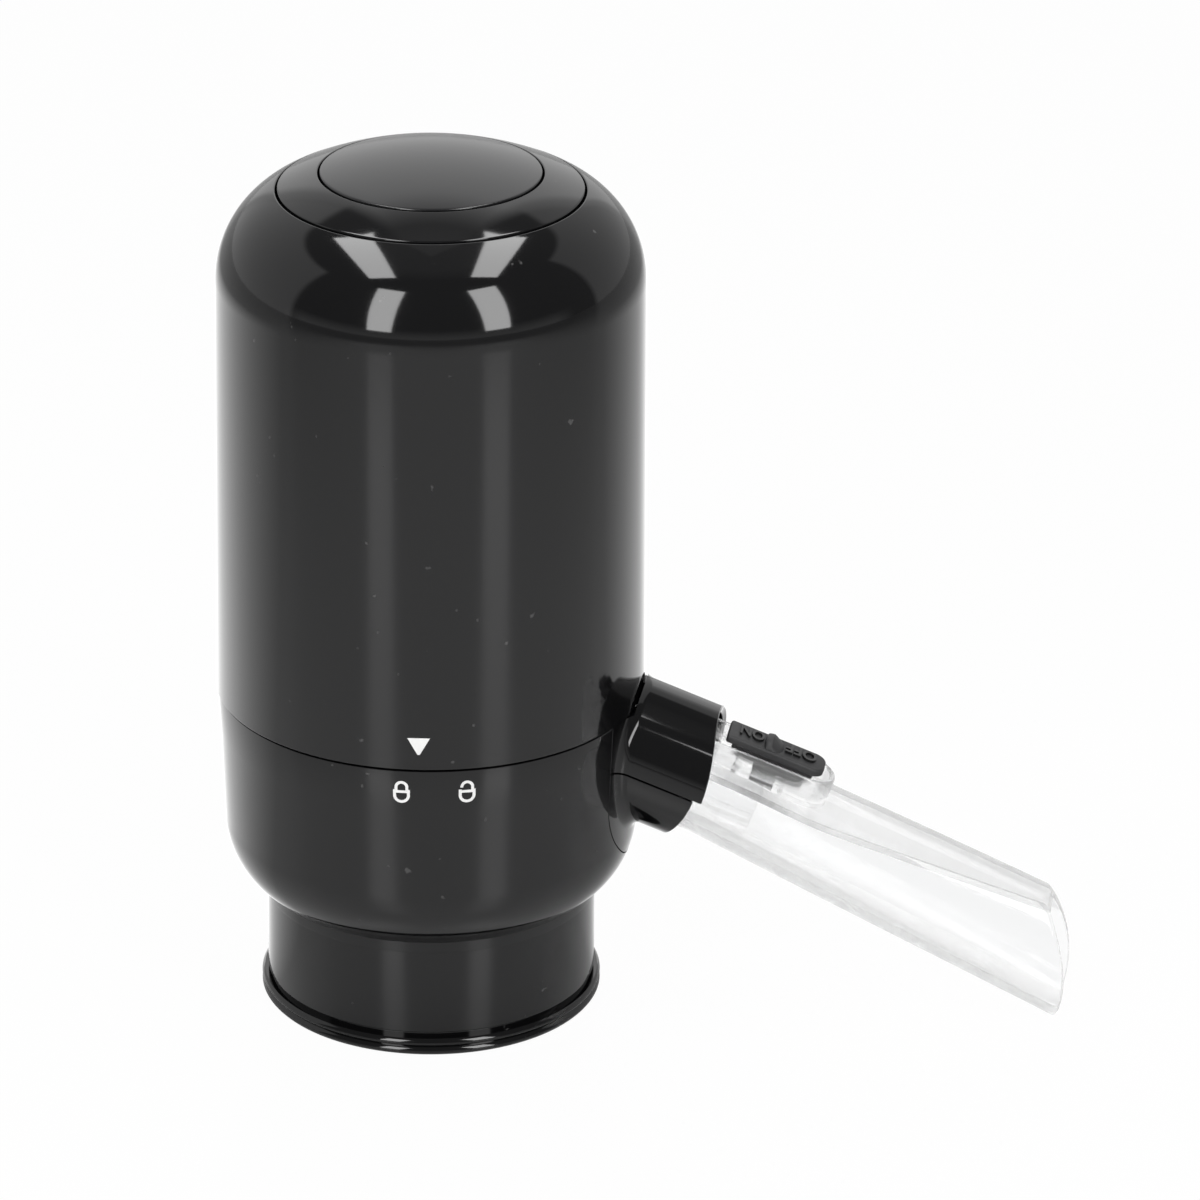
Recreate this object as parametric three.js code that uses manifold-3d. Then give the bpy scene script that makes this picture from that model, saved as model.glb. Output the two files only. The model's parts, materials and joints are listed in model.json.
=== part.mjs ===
import * as THREE from "three";
import { mergeVertices } from "three/addons/utils/BufferGeometryUtils.js";
import Module from "manifold-3d";

// An electric wine aerator: a twist-locked pump head on a bottle collar with a clear pouring spout.
// Millimetres, +Z up. The origin is on the body's axis, in the plane of the lip ring's underside.
// The spout points along +X and slopes down.

const wasm = await Module();
wasm.setup();

// Driving dimensions: the four cells stand round the motor and set the body's width
const wall = 1.8;
const runningGap = 0.3;
const cutOverrun = 2;
const motorRadius = 10;
const cellRadius = 5.25;
const cellLength = 44.5;
const cellNubRadius = 2;
const cellNubHeight = 0.8;
const cellClearance = 0.3;
const hubWall = 1.25;
const hubToBay = 0.4;
const motorSeat = motorRadius + runningGap;
const cellCircle = motorSeat + hubWall + hubToBay + cellClearance + cellRadius;
const bodyClearance = 1.2;
const bodyRadius = cellCircle + cellRadius + bodyClearance + wall;
const seamHeight = 40;
const seamGap = 0.3;

// Cage round the cells
const cellCount = 4;
const degree = Math.PI / 180;
const cellSpacing = (2 * Math.PI) / degree / cellCount;
const cellAngles = Array.from({ length: cellCount }, (_, place) => place * cellSpacing);
const bayWall = 0.95;
const ribThickness = 1.6;
const cageRelief = 0.15;
const cageRadius = cellCircle + cellRadius - cageRelief;
const cagePostRadius = 2.2;
const cagePostStep = 2;
const cagePostCircle = cellCircle + cagePostStep;
const cageInset = 0.6;
const cellPlateThickness = 1.6;
const contactThickness = 0.3;
const contactHalfWidth = 2;
const contactSpringHeight = 1.2;
const contactSpringRadius = 2.4;
const contactWire = 0.3;
const contactSpringTurns = 1.25;
const headScrewRadius = 1.1;
const headScrewHeadRadius = 2;
const headScrewHeadHeight = 1.2;
const headScrewLength = 9;
const headScrewAngles = [cellSpacing / 2, cellSpacing / 2 + 2 * cellSpacing];

// Upper housing and its crown
const upperDraft = 0.5;
const shoulderRadius = 12.5;
const shoulderWidth = 7.75;
const crownRadius = 41.4;
const crownRise = 10.1;
const ringRadius = bodyRadius - shoulderWidth;
const ringWidth = 4.95;
const buttonRadius = ringRadius - ringWidth;
const grooveWidth = 0.35;

// Lower housing
const lowerInset = 0.3;
const lowerTopRadius = bodyRadius - lowerInset;
const lowerDraft = 0.6;
const lowerBottomRadius = lowerTopRadius - lowerDraft;
const undersideRadius = 10;
const undersideDrop = 16.7;
const undersideStart = seamHeight - undersideDrop;
const undersideStep = 4.5;
const neckHoleRadius = lowerBottomRadius - undersideStep;

// Neck sleeve and lip ring
const neckStep = 0.5;
const sleeveRadius = neckHoleRadius - neckStep;
const sleeveBandRise = 0.2;
const sleeveBandHeight = 1.5;
const sleeveWall = 2;
const lipHeight = 2.1;
const lipReach = 0.75;
const lipRadius = sleeveRadius + lipReach;
const lipGrooveHeight = 0.6;
const lipGrooveDepth = 0.7;
const beadDip = 0.35;

// Deck and manifold block
const deckDrop = 5.7;
const deckLow = undersideStart - deckDrop;
const deckThickness = 2.5;
const deckLap = 0.05;
const deckRadius = neckHoleRadius + deckLap;
const blockRadius = 8.5;
const blockHeight = 15.1;
const wineBore = 1.6;
const airBore = 1;
const airBoreOffset = 6;
const airTubeRadius = 2.3;
const airTubeBore = 1.2;
const airTubeSocket = 3.9;
const airTubeClearance = 0.3;
const airSealRadius = 0.7;
const airSealSides = 6;
const airCupGap = 1.8;
const airCupRadius = airTubeRadius + airCupGap;
const airCupDepth = 4.1;
const nippleRise = 4.4;
const nippleHeight = deckLow + deckThickness + nippleRise;
const nippleRadius = 1.6;
const nippleBore = 1;
const nippleLength = 4;

// Bottle seal and intake nozzle
const sealRadius = 9.2;
const sealRibRise = 1.4;
const sealRibHeight = 1.6;
const sealRibs = 3;
const sealFlangeWidth = 2.8;
const sealFlangeHeight = 2.4;
const sealLow = 1;
const nozzleRadius = 3;
const nozzleLow = 4;
const nozzleFlangeWidth = 1.4;
const nozzleFlangeHeight = 1.3;

// Twist lock
const lockClearance = 0.35;
const lockRingWidth = 4.7;
const lockRingOuter = lowerTopRadius - wall - lockClearance;
const lockRingInner = lockRingOuter - lockRingWidth;
const lockRingThickness = 1.3;
const lockRingDrop = 0.3;
const lockRingGapHalfAngle = 28;
const lugPlay = 0.4;
const lugRing = lockRingInner - lugPlay;
const lugRingWall = 2;
const lugRingSink = 1.8;
const lugLength = 2.6;
const lugReach = lugRing + lugLength;
const lugThickness = 1.3;
const lugHalfAngle = 6;
const lugAngles = [60, 180, 300];
const unlockAngle = 12.8;
const notchPlay = 0.5;
const notchReach = lugReach + notchPlay;
const notchHalfAngle = 7.5;
const postRadius = 1.45;
const postSink = 0.9;
const postStep = 1.6;
const postCircle = lockRingInner + postStep;
const postAngles = [34, 125, 235];
const lockScrewRadius = 0.8;
const lockScrewHeadRadius = 1.35;
const lockScrewHeadHeight = 0.6;
const lockScrewLength = 7;
const lockPlateRise = 0.6;
const lockPlateThickness = 2.4;
const lockPlateRadius = bodyRadius - wall - lockClearance;

// Motor and diaphragm pump, one above the other on the axis
const motorEndGap = 2.2;
const motorBossRadius = 3;
const motorBossHeight = 1;
const shaftRadius = 1;
const shaftClearance = 0.1;
const shaftInMotor = 6;
const stemGap = 0.3;
const leadRadius = 0.5;
const leadOffset = 4;
const eccentricRadius = 3.2;
const eccentricOffset = 1.2;
const eccentricHeight = 4.5;
const eccentricDrop = 2;
const crankHeight = 11.5;
const crankWall = 1.4;
const diaphragmThickness = 1.5;
const diaphragmStemHeight = 2.8;
const diaphragmStemRadius = 2.4;
const diaphragmStemTopRadius = 1.4;
const valveCoverHeight = 6.1;

// Board, switch, button and the ring round it
const switchSide = 6;
const switchHeight = 3.5;
const switchFloor = 0.5;
const plungerRadius = 1.7;
const plungerLength = 3.2;
const buttonTravel = 1.2;
const buttonWall = 1.7;
const buttonSkirtWall = 1.5;
const buttonFlangeWidth = 1.35;
const buttonFlangeRadius = buttonRadius + buttonFlangeWidth;
const buttonFlangeHeight = 0.9;
const buttonPostRadius = 2.2;
const buttonSpringRadius = 6;
const buttonWire = 0.5;
const buttonSpringTurns = 4;
const ringFlangeWidth = 1.6;
const ringFlangeRadius = ringRadius + ringFlangeWidth;
const ringLedgeHeight = 2.7;
const ringSkirtGap = 0.5;
const ringSkirtInner = buttonFlangeRadius + ringSkirtGap;
const guideThickness = 1.2;
const guideHoleStep = 1;
const guideHoleRadius = buttonSpringRadius - guideHoleStep;
const guideRise = 1.6;
const guideSkirtStep = 0.6;
const guideSkirtInner = ringSkirtInner + guideSkirtStep;
const guideSkirtWall = 1.5;
const guideSkirtOuter = guideSkirtInner + guideSkirtWall;
const boardThickness = 1.6;
const boardMargin = 0.5;
const boardRadius = guideSkirtOuter + boardMargin;

// Clear spout, measured along the socket's axis
const spoutRadius = 7.1;
const spoutWall = 1.2;
const spoutStart = -1.5;
const spoutTopNear = 3.3;
const spoutTopFar = 2.3;
const spoutTopBlendStart = 8;
const spoutTopBlendEnd = 25;
const spoutTipTop = 51.6;
const spoutTipHalfWidth = 5;
const spoutTipHalfHeight = 7.9;
const spoutTipDrop = 4.25;
const spoutTipLead = 14.4;
const spoutTipCurl = 7.8;
const spoutNarrowing = 1.6;

// Spout socket: a hood and a cradle split at the socket's own equator
const socketPitch = 20;
const socketDrop = 7.1;
const socketRootHeight = seamHeight - socketDrop;
const socketWall = 1;
const socketBore = spoutRadius + runningGap;
const socketRadius = socketBore + socketWall;
const hoodLength = 6.6;
const cradleLength = 5.8;
const socketSaddleRadius = 20.75;
const socketFlare = 1.4;
const socketInset = 4;
const flangeMargin = 0.2;
const slotHalfWidth = socketRadius + socketFlare + flangeMargin;
const slotDrop = 3;
const slotBottom = socketRootHeight - slotHalfWidth - slotDrop;
const slotGap = 0.15;
const partingGap = 0.25;

// Slider, its carrier and the rim round them
const sliderTravel = 1.8;
const sliderPlay = 0.2;
const sliderStart = hoodLength + sliderTravel + sliderPlay;
const sliderLength = 12.3;
const sliderEnd = sliderStart + sliderLength;
const sliderHalfWidth = 2.3;
const sliderThickness = 1.8;
const carrierThickness = 0.5;
const carrierBarHeight = 1.2;
const carrierPlay = 0.05;
const carrierGap = 0.15;
const carrierTop = spoutTopNear + carrierPlay + carrierBarHeight + carrierThickness;
const sliderLow = carrierTop + carrierGap;
const sliderTop = sliderLow + sliderThickness;
const wedgeStep = 4.4;
const wedgeStart = sliderStart + wedgeStep;
const wedgeLength = 2.8;
const wedgeHeight = 1;
const wedgeHalfWidth = 1.9;
const wedgeCrestShare = 0.4;
const wedgeFaceShare = 0.8;
const carrierSideStep = 0.3;
const carrierHalfWidth = sliderHalfWidth - carrierSideStep;
const carrierBarHalfWidth = 1.3;
const carrierInset = 1;
const carrierBarStep = 4.2;
const finLength = 3;
const finHalfWidth = 0.9;
const finReach = 1.4;
const finLow = spoutTopNear - finReach;
const finStart = wedgeStart;
const finEnd = finStart + finLength;
const slotNearPlay = 0.6;
const slotFarPlay = 1.4;
const slotSidePlay = 0.4;
const slotStart = finStart - sliderTravel - slotNearPlay;
const slotEnd = finEnd + slotFarPlay;
const slotHalf = finHalfWidth + slotSidePlay;
const rimSidePlay = 0.35;
const rimEndPlay = 0.95;
const rimWall = 0.75;
const rimHalfWidth = sliderHalfWidth + rimSidePlay + rimWall;
const sliderSink = 0.8;
const rimTop = sliderLow + sliderSink;
const rimStart = 3;
const rimEnd = sliderEnd + rimEndPlay + rimWall;

// Insert and hose
const insertRadius = 2.9;
const insertBore = 1.7;
const finClearance = 0.4;
const insertDrop = insertRadius + finClearance - finLow;
const insertInnerEnd = -7.6;
const insertOuterEnd = 15;
const insertFlangeWidth = 0.9;
const insertFlangeHeight = 1.2;
const insertWall = 1.8;
const insertNippleReach = 7;
const hoseRadius = 2.8;
const hoseBore = 1.95;
const hoseGrip = 2.6;

// How finely round forms are cut
const shellSegments = 40;
const midSegments = 20;
const smallSegments = 10;
const baySegments = 14;
const saddleSegments = 72;
const lugSegments = 4;
const notchSegments = 8;
const slotSegments = 12;
const flareSteps = 5;
const shoulderSteps = 8;
const undersideSteps = 7;
const undersideInnerSteps = 5;
const innerSteps = 6;
const crownSteps = 6;
const ringSteps = 3;
const hollowSteps = 2;
const coilSteps = 8;
const coilSides = 5;
const spoutSides = 20;
const hoseSteps = 10;
const hoseSides = 5;
const weldDistance = 1e-4;

const black = finish(0x121212, 0.14, 0);
const darkPlastic = finish(0x2a2a2c, 0.55, 0);
const clear = finish(0xf2f5f6, 0.05, 0);
const rubber = finish(0x1b1b1c, 0.8, 0);
const steel = finish(0xb9bcc0, 0.3, 1);
const brass = finish(0xc9a45a, 0.35, 1);
const boardGreen = finish(0x1f5a38, 0.6, 0);
const cellBlue = finish(0x2d4f86, 0.4, 0.2);
const whitePlastic = finish(0xe6e6e2, 0.5, 0);
const softGrey = finish(0x3a3a3c, 0.75, 0);
const leadRed = finish(0xa02020, 0.5, 0);

function finish(color, roughness, metalness) {
  return { color, roughness, metalness };
}

// A closed geometry with shared corners, no flat triangles and its faces pointing out.
function tidy(geometry) {
  const bare = new THREE.BufferGeometry();
  bare.setAttribute("position", geometry.getAttribute("position").clone());
  if (geometry.index) bare.setIndex(geometry.index.clone());
  const merged = mergeVertices(bare, weldDistance);
  const corners = merged.index.array;
  const points = merged.getAttribute("position");
  const kept = [];
  const a = new THREE.Vector3();
  const b = new THREE.Vector3();
  const c = new THREE.Vector3();
  let volume = 0;
  for (let i = 0; i < corners.length; i += 3) {
    const [p, q, r] = [corners[i], corners[i + 1], corners[i + 2]];
    if (p === q || q === r || r === p) continue;
    kept.push(p, q, r);
    a.fromBufferAttribute(points, p);
    b.fromBufferAttribute(points, q);
    c.fromBufferAttribute(points, r);
    volume += a.dot(b.cross(c));
  }
  if (volume < 0) {
    for (let i = 0; i < kept.length; i += 3) [kept[i], kept[i + 1]] = [kept[i + 1], kept[i]];
  }
  merged.setIndex(kept);
  return merged;
}

function solid(geometry) {
  const closed = tidy(geometry);
  return new wasm.Manifold(
    new wasm.Mesh({
      numProp: 3,
      vertProperties: Float32Array.from(closed.getAttribute("position").array),
      triVerts: Uint32Array.from(closed.index.array),
    }),
  );
}

function geometryOf(body) {
  const mesh = body.getMesh();
  const geometry = new THREE.BufferGeometry();
  geometry.setAttribute("position", new THREE.BufferAttribute(mesh.vertProperties, 3));
  geometry.setIndex(new THREE.BufferAttribute(mesh.triVerts, 1));
  return geometry;
}

function union(first, ...others) {
  return others.reduce((sum, each) => sum.add(each), first);
}

function cut(first, ...others) {
  return others.reduce((rest, each) => rest.subtract(each), first);
}

// A turned form about Z from points of [radius, height].
function turned(points, segments = midSegments) {
  const onAxis = points[0][0] === 0 && points[points.length - 1][0] === 0;
  const outline = onAxis ? points : [...points, points[0]];
  const profile = outline.map(([radius, height]) => new THREE.Vector2(radius, height));
  return new THREE.LatheGeometry(profile, segments).rotateX(Math.PI / 2);
}

function disc(radius, low, high, segments = midSegments) {
  const geometry = new THREE.CylinderGeometry(radius, radius, high - low, segments);
  return geometry.rotateX(Math.PI / 2).translate(0, 0, (low + high) / 2);
}

function ring(inner, outer, low, high, segments = midSegments) {
  const outline = [
    [inner, low],
    [outer, low],
    [outer, high],
    [inner, high],
  ];
  return turned(outline, segments);
}

function block(lowX, highX, lowY, highY, lowZ, highZ) {
  const geometry = new THREE.BoxGeometry(highX - lowX, highY - lowY, highZ - lowZ);
  return geometry.translate((lowX + highX) / 2, (lowY + highY) / 2, (lowZ + highZ) / 2);
}

// A flat outline raised along Z from zero.
function raised(shape, depth, curveSegments = 1) {
  return new THREE.ExtrudeGeometry(shape, { depth, bevelEnabled: false, curveSegments });
}

// A cylinder that lies along X.
function rod(radius, lowX, highX, segments = smallSegments) {
  const geometry = new THREE.CylinderGeometry(radius, radius, highX - lowX, segments);
  return geometry.rotateZ(Math.PI / 2).translate((lowX + highX) / 2, 0, 0);
}

function atAngle(geometry, radius, angle) {
  return geometry.translate(radius, 0, 0).rotateZ(angle * degree);
}

function arc(centreRadius, centreHeight, radius, from, to, steps) {
  return Array.from({ length: steps + 1 }, (_, i) => {
    const angle = from + ((to - from) * i) / steps;
    return [centreRadius + radius * Math.cos(angle), centreHeight + radius * Math.sin(angle)];
  });
}

// Height of the crown at a distance from the axis.
function crownAt(radius) {
  return bodyHeight - crownRadius + Math.sqrt(crownRadius ** 2 - radius ** 2);
}

function crown(from, to, steps, drop = 0) {
  return Array.from({ length: steps + 1 }, (_, i) => {
    const radius = from + ((to - from) * i) / steps;
    return [radius, crownAt(radius) - drop];
  });
}

// A closed coil about Z with straight ends along its height.
function coil(radius, wire, low, high, turns) {
  const sides = coilSides;
  const steps = Math.round(turns * coilSteps);
  const wireRadius = wire / 2;
  const rise = high - low - wire;
  const positions = [];
  const indices = [];
  for (let i = 0; i <= steps; i++) {
    const angle = (i / coilSteps) * 2 * Math.PI;
    const height = low + wireRadius + (rise * i) / steps;
    for (let j = 0; j < sides; j++) {
      const around = (j / sides) * 2 * Math.PI;
      const reach = radius + wireRadius * Math.cos(around);
      const z = height + wireRadius * Math.sin(around);
      positions.push(reach * Math.cos(angle), reach * Math.sin(angle), z);
    }
  }
  for (let i = 0; i < steps; i++) {
    for (let j = 0; j < sides; j++) {
      const here = i * sides + j;
      const beside = i * sides + ((j + 1) % sides);
      indices.push(here, beside, here + sides, beside, beside + sides, here + sides);
    }
  }
  const last = steps * sides;
  for (let j = 1; j < sides - 1; j++) {
    indices.push(0, j + 1, j, last, last + j, last + j + 1);
  }
  const geometry = new THREE.BufferGeometry();
  geometry.setAttribute("position", new THREE.Float32BufferAttribute(positions, 3));
  geometry.setIndex(indices);
  return geometry;
}

// The least gap between neighbouring turns of a coil.
function coilGap(wire, low, high, turns) {
  return (high - low - wire) / turns - wire;
}

function hollowTube(path, outer, bore, steps, sides = smallSegments) {
  const section = new THREE.Shape().absarc(0, 0, outer, 0, 2 * Math.PI);
  section.holes.push(new THREE.Path().absarc(0, 0, bore, 0, 2 * Math.PI, true));
  return new THREE.ExtrudeGeometry(section, {
    steps,
    curveSegments: sides,
    extrudePath: path,
    bevelEnabled: false,
  });
}

// Heights that follow from one another, from the seam upwards
const lowerTop = seamHeight - seamGap / 2;
const upperLow = seamHeight + seamGap / 2;
const lockPlateLow = seamHeight + lockPlateRise;
const cellPlateLow = lockPlateLow + lockPlateThickness;
const cageLow = cellPlateLow + cellPlateThickness;
const contactLowTop = cageLow + contactThickness;
const contactHighLow = contactLowTop + contactSpringHeight + cellLength;
const cageHigh = contactHighLow + contactThickness;
const upperPlateHigh = cageHigh + cellPlateThickness;
const boardHigh = upperPlateHigh + boardThickness;
const guideLow = boardHigh + guideRise;
const guideHigh = guideLow + guideThickness;
const bodyHeight = guideHigh + crownRise;
const deckHigh = deckLow + deckThickness;
const blockHigh = deckHigh + blockHeight;
const lockRingHigh = lowerTop - lockRingDrop;
const lockRingLow = lockRingHigh - lockRingThickness;
const lugHigh = lockRingLow - lugPlay;
const lugLow = lugHigh - lugThickness;

// The motor stack stands on the lower cell plate
const diaphragmLow = cageLow + valveCoverHeight;
const crankLow = diaphragmLow + diaphragmThickness;
const motorLow = crankLow + crankHeight;
const motorHigh = cageHigh - motorEndGap;
const shaftLow = crankLow + diaphragmStemHeight + stemGap;

// The shoulder's arc ends on the crown at the ring's groove
const shoulderCentre = bodyRadius - upperDraft - shoulderRadius;
const openingRadius = ringRadius + grooveWidth / 2;
const shoulderAngle = Math.acos((openingRadius - shoulderCentre) / shoulderRadius);
const shoulderHeight = crownAt(openingRadius) - shoulderRadius * Math.sin(shoulderAngle);
const shoulderInner = shoulderRadius - wall;
const innerShoulderAngle = Math.acos((openingRadius - shoulderCentre) / shoulderInner);

function innerShoulderAt(radius) {
  const angle = Math.acos((radius - shoulderCentre) / shoulderInner);
  return shoulderHeight + shoulderInner * Math.sin(angle);
}

function upperHousing() {
  const outer = arc(shoulderCentre, shoulderHeight, shoulderRadius, 0, shoulderAngle, shoulderSteps);
  const inner = arc(shoulderCentre, shoulderHeight, shoulderInner, innerShoulderAngle, 0, innerSteps);
  const outline = [[bodyRadius - wall, upperLow], [bodyRadius, upperLow], ...outer, ...inner];
  return turned(outline, shellSegments);
}

function topRing() {
  const inner = buttonRadius + grooveWidth / 2;
  const outer = ringRadius - grooveWidth / 2;
  const ledge = guideHigh + ringLedgeHeight;
  const flangeTop = innerShoulderAt(ringFlangeRadius) - runningGap;
  const outline = [
    ...crown(inner, outer, ringSteps),
    [outer, flangeTop],
    [ringFlangeRadius, flangeTop],
    [ringFlangeRadius, guideHigh],
    [ringSkirtInner, guideHigh],
    [ringSkirtInner, ledge],
    [inner, ledge],
  ];
  return turned(outline, shellSegments);
}

const buttonFlangeHigh = guideHigh + ringLedgeHeight - runningGap;
const buttonFlangeLow = buttonFlangeHigh - buttonFlangeHeight;
const plungerHigh = boardHigh + switchHeight + runningGap + buttonTravel;

function buttonCap() {
  const outer = buttonRadius - grooveWidth / 2;
  const skirtInner = outer - buttonSkirtWall;
  const outline = [
    [0, plungerHigh],
    [buttonPostRadius, plungerHigh],
    ...crown(buttonPostRadius, skirtInner, hollowSteps, buttonWall),
    [skirtInner, buttonFlangeLow],
    [buttonFlangeRadius, buttonFlangeLow],
    [buttonFlangeRadius, buttonFlangeHigh],
    [outer, buttonFlangeHigh],
    ...crown(outer, 0, crownSteps),
  ];
  return turned(outline, shellSegments);
}

function buttonSpring() {
  const high = crownAt(buttonSpringRadius) - buttonWall - runningGap;
  return coil(buttonSpringRadius, buttonWire, guideHigh, high, buttonSpringTurns);
}

function buttonGuide() {
  const outline = [
    [guideHoleRadius, guideLow],
    [guideSkirtInner, guideLow],
    [guideSkirtInner, boardHigh],
    [guideSkirtOuter, boardHigh],
    [guideSkirtOuter, guideLow],
    [ringFlangeRadius, guideLow],
    [ringFlangeRadius, guideHigh],
    [guideHoleRadius, guideHigh],
  ];
  return turned(outline);
}

function switchBody() {
  const half = switchSide / 2;
  const high = boardHigh + switchHeight;
  const shell = solid(block(-half, half, -half, half, boardHigh, high));
  const boreRadius = plungerRadius + runningGap;
  const bore = solid(disc(boreRadius, boardHigh + switchFloor, high + cutOverrun, smallSegments));
  return geometryOf(shell.subtract(bore));
}

function switchPlunger() {
  return disc(plungerRadius, plungerHigh - plungerLength, plungerHigh, smallSegments);
}

function cellCage() {
  const low = cageLow + cageInset;
  const high = cageHigh - cageInset;
  const hub = solid(disc(motorSeat + hubWall, low, high));
  const bayRadius = cellRadius + cellClearance;
  const bays = cellAngles.map((angle) =>
    solid(atAngle(disc(bayRadius + bayWall, low, high, baySegments), cellCircle, angle)),
  );
  const ribAngles = cellAngles.map((angle) => angle + cellSpacing / 2);
  const ribs = ribAngles.map((angle) => {
    const half = ribThickness / 2;
    return solid(block(motorSeat, cagePostCircle, -half, half, low, high).rotateZ(angle * degree));
  });
  const posts = ribAngles.map((angle) =>
    solid(atAngle(disc(cagePostRadius, cageLow, cageHigh, smallSegments), cagePostCircle, angle)),
  );
  const round = solid(disc(cageRadius, cageLow - cutOverrun, cageHigh + cutOverrun, shellSegments));
  const whole = union(hub, ...bays, ...ribs, ...posts).intersect(round);
  const bayCuts = cellAngles.map((angle) => {
    const cutter = disc(bayRadius, low - cutOverrun, high + cutOverrun, baySegments);
    return solid(atAngle(cutter, cellCircle, angle));
  });
  const motorCut = solid(disc(motorSeat, low - cutOverrun, high + cutOverrun));
  const holes = headScrewAngles.map((angle) => headScrewHole(angle, cageLow - cutOverrun));
  return geometryOf(cut(whole, motorCut, ...bayCuts, ...holes));
}

function headScrewHole(angle, low) {
  const high = lockPlateLow + headScrewLength + runningGap;
  const hole = disc(headScrewRadius + runningGap, low, high, smallSegments);
  return solid(atAngle(hole, cagePostCircle, angle));
}

function cellPlate(low, holes) {
  const plate = solid(disc(cageRadius, low, low + cellPlateThickness, shellSegments));
  return geometryOf(cut(plate, ...holes));
}

function lowerCellPlate() {
  const low = cellPlateLow - cutOverrun;
  const high = cageLow + cutOverrun;
  const airHole = solid(disc(airTubeRadius + airTubeClearance, low, high, smallSegments));
  return cellPlate(cellPlateLow, [airHole, ...headScrewAngles.map((a) => headScrewHole(a, low))]);
}

function upperCellPlate() {
  const holes = [-1, 1].map((side) => {
    const low = cageHigh - cutOverrun;
    const hole = disc(leadRadius + runningGap, low, upperPlateHigh + cutOverrun, smallSegments);
    return solid(hole.translate(side * leadOffset, 0, 0));
  });
  return cellPlate(cageHigh, holes);
}

// A cell standing on its flat end, with its nub on top.
function cell(low, nubUp) {
  const outline = [
    [0, 0],
    [cellRadius, 0],
    [cellRadius, cellLength - cellNubHeight],
    [cellNubRadius, cellLength - cellNubHeight],
    [cellNubRadius, cellLength],
    [0, cellLength],
  ];
  const standing = turned(outline, baySegments);
  if (!nubUp) standing.rotateX(Math.PI).translate(0, 0, cellLength);
  return standing.translate(0, 0, low);
}

function contactStrip(low, angle) {
  const half = (cellCircle * Math.SQRT2) / 2 + contactHalfWidth;
  const middle = (cellCircle * Math.SQRT2) / 2;
  const high = low + contactThickness;
  const bar = block(middle - contactHalfWidth, middle + contactHalfWidth, -half, half, low, high);
  return bar.rotateZ(angle * degree);
}

function headScrew(angle) {
  const high = lockPlateLow + headScrewLength;
  const headLow = lockPlateLow - runningGap;
  const outline = [
    [0, headLow],
    [headScrewHeadRadius, headLow],
    [headScrewHeadRadius, headLow + headScrewHeadHeight],
    [headScrewRadius, headLow + headScrewHeadHeight],
    [headScrewRadius, high],
    [0, high],
  ];
  return atAngle(turned(outline, smallSegments), cagePostCircle, angle);
}

function lockPlate() {
  const high = lockPlateLow + lockPlateThickness;
  const plate = solid(disc(lockPlateRadius, lockPlateLow, high, shellSegments));
  const hub = solid(ring(lugRing - lugRingWall, lugRing, lugLow, lockPlateLow + lugRingSink, shellSegments));
  const lugs = lugAngles.map((angle) => sector(lugRing - lugRingSink, lugReach, angle, lugHalfAngle));
  const low = lugLow - cutOverrun;
  const airHole = solid(disc(airTubeRadius + airTubeClearance, low, high + cutOverrun, smallSegments));
  const holes = headScrewAngles.map((angle) => headScrewHole(angle, low));
  const recesses = headScrewAngles.map((angle) => {
    const top = lockPlateLow + headScrewHeadHeight;
    const recess = disc(headScrewHeadRadius + runningGap, low, top, smallSegments);
    return solid(atAngle(recess, cagePostCircle, angle));
  });
  return geometryOf(cut(union(plate, hub, ...lugs), airHole, ...holes, ...recesses));
}

// A lug: a short sector of a ring at the lugs' height.
function sector(inner, outer, angle, halfAngle) {
  const shape = new THREE.Shape();
  const from = (angle - halfAngle) * degree;
  const to = (angle + halfAngle) * degree;
  shape.absarc(0, 0, outer, from, to, false);
  shape.absarc(0, 0, inner, to, from, true);
  shape.closePath();
  return solid(raised(shape, lugHigh - lugLow, lugSegments).translate(0, 0, lugLow));
}

// A wedge-shaped cutter from the axis out to a radius, over an angle.
function wedge(outer, angle, halfAngle, low, high) {
  const shape = new THREE.Shape();
  shape.moveTo(0, 0);
  shape.absarc(0, 0, outer, (angle - halfAngle) * degree, (angle + halfAngle) * degree, false);
  shape.closePath();
  return solid(raised(shape, high - low, notchSegments).translate(0, 0, low));
}

function lockRing() {
  const low = lockRingLow - cutOverrun;
  const high = lockRingHigh + cutOverrun;
  const plate = solid(ring(lockRingInner, lockRingOuter, lockRingLow, lockRingHigh, shellSegments));
  const reach = lockRingOuter + cutOverrun;
  const spoutGap = wedge(reach, 0, lockRingGapHalfAngle, low, high);
  const notches = lugAngles.map((angle) =>
    wedge(notchReach, angle + unlockAngle, notchHalfAngle, low, high),
  );
  const recessLow = lockRingHigh - lockScrewHeadHeight;
  const recesses = postAngles.map((angle) => {
    const recess = disc(lockScrewHeadRadius + runningGap, recessLow, high, smallSegments);
    return solid(atAngle(recess, postCircle, angle));
  });
  const holes = postAngles.map((angle) => {
    const hole = disc(lockScrewRadius + shaftClearance, low, high, smallSegments);
    return solid(atAngle(hole, postCircle, angle));
  });
  return geometryOf(cut(plate, spoutGap, ...notches, ...recesses, ...holes));
}

function lockScrew(angle) {
  const headLow = lockRingHigh - lockScrewHeadHeight;
  const outline = [
    [0, lockRingHigh - lockScrewLength],
    [lockScrewRadius, lockRingHigh - lockScrewLength],
    [lockScrewRadius, headLow],
    [lockScrewHeadRadius, headLow],
    [lockScrewHeadRadius, lockRingHigh],
    [0, lockRingHigh],
  ];
  return atAngle(turned(outline, smallSegments), postCircle, angle);
}

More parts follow.
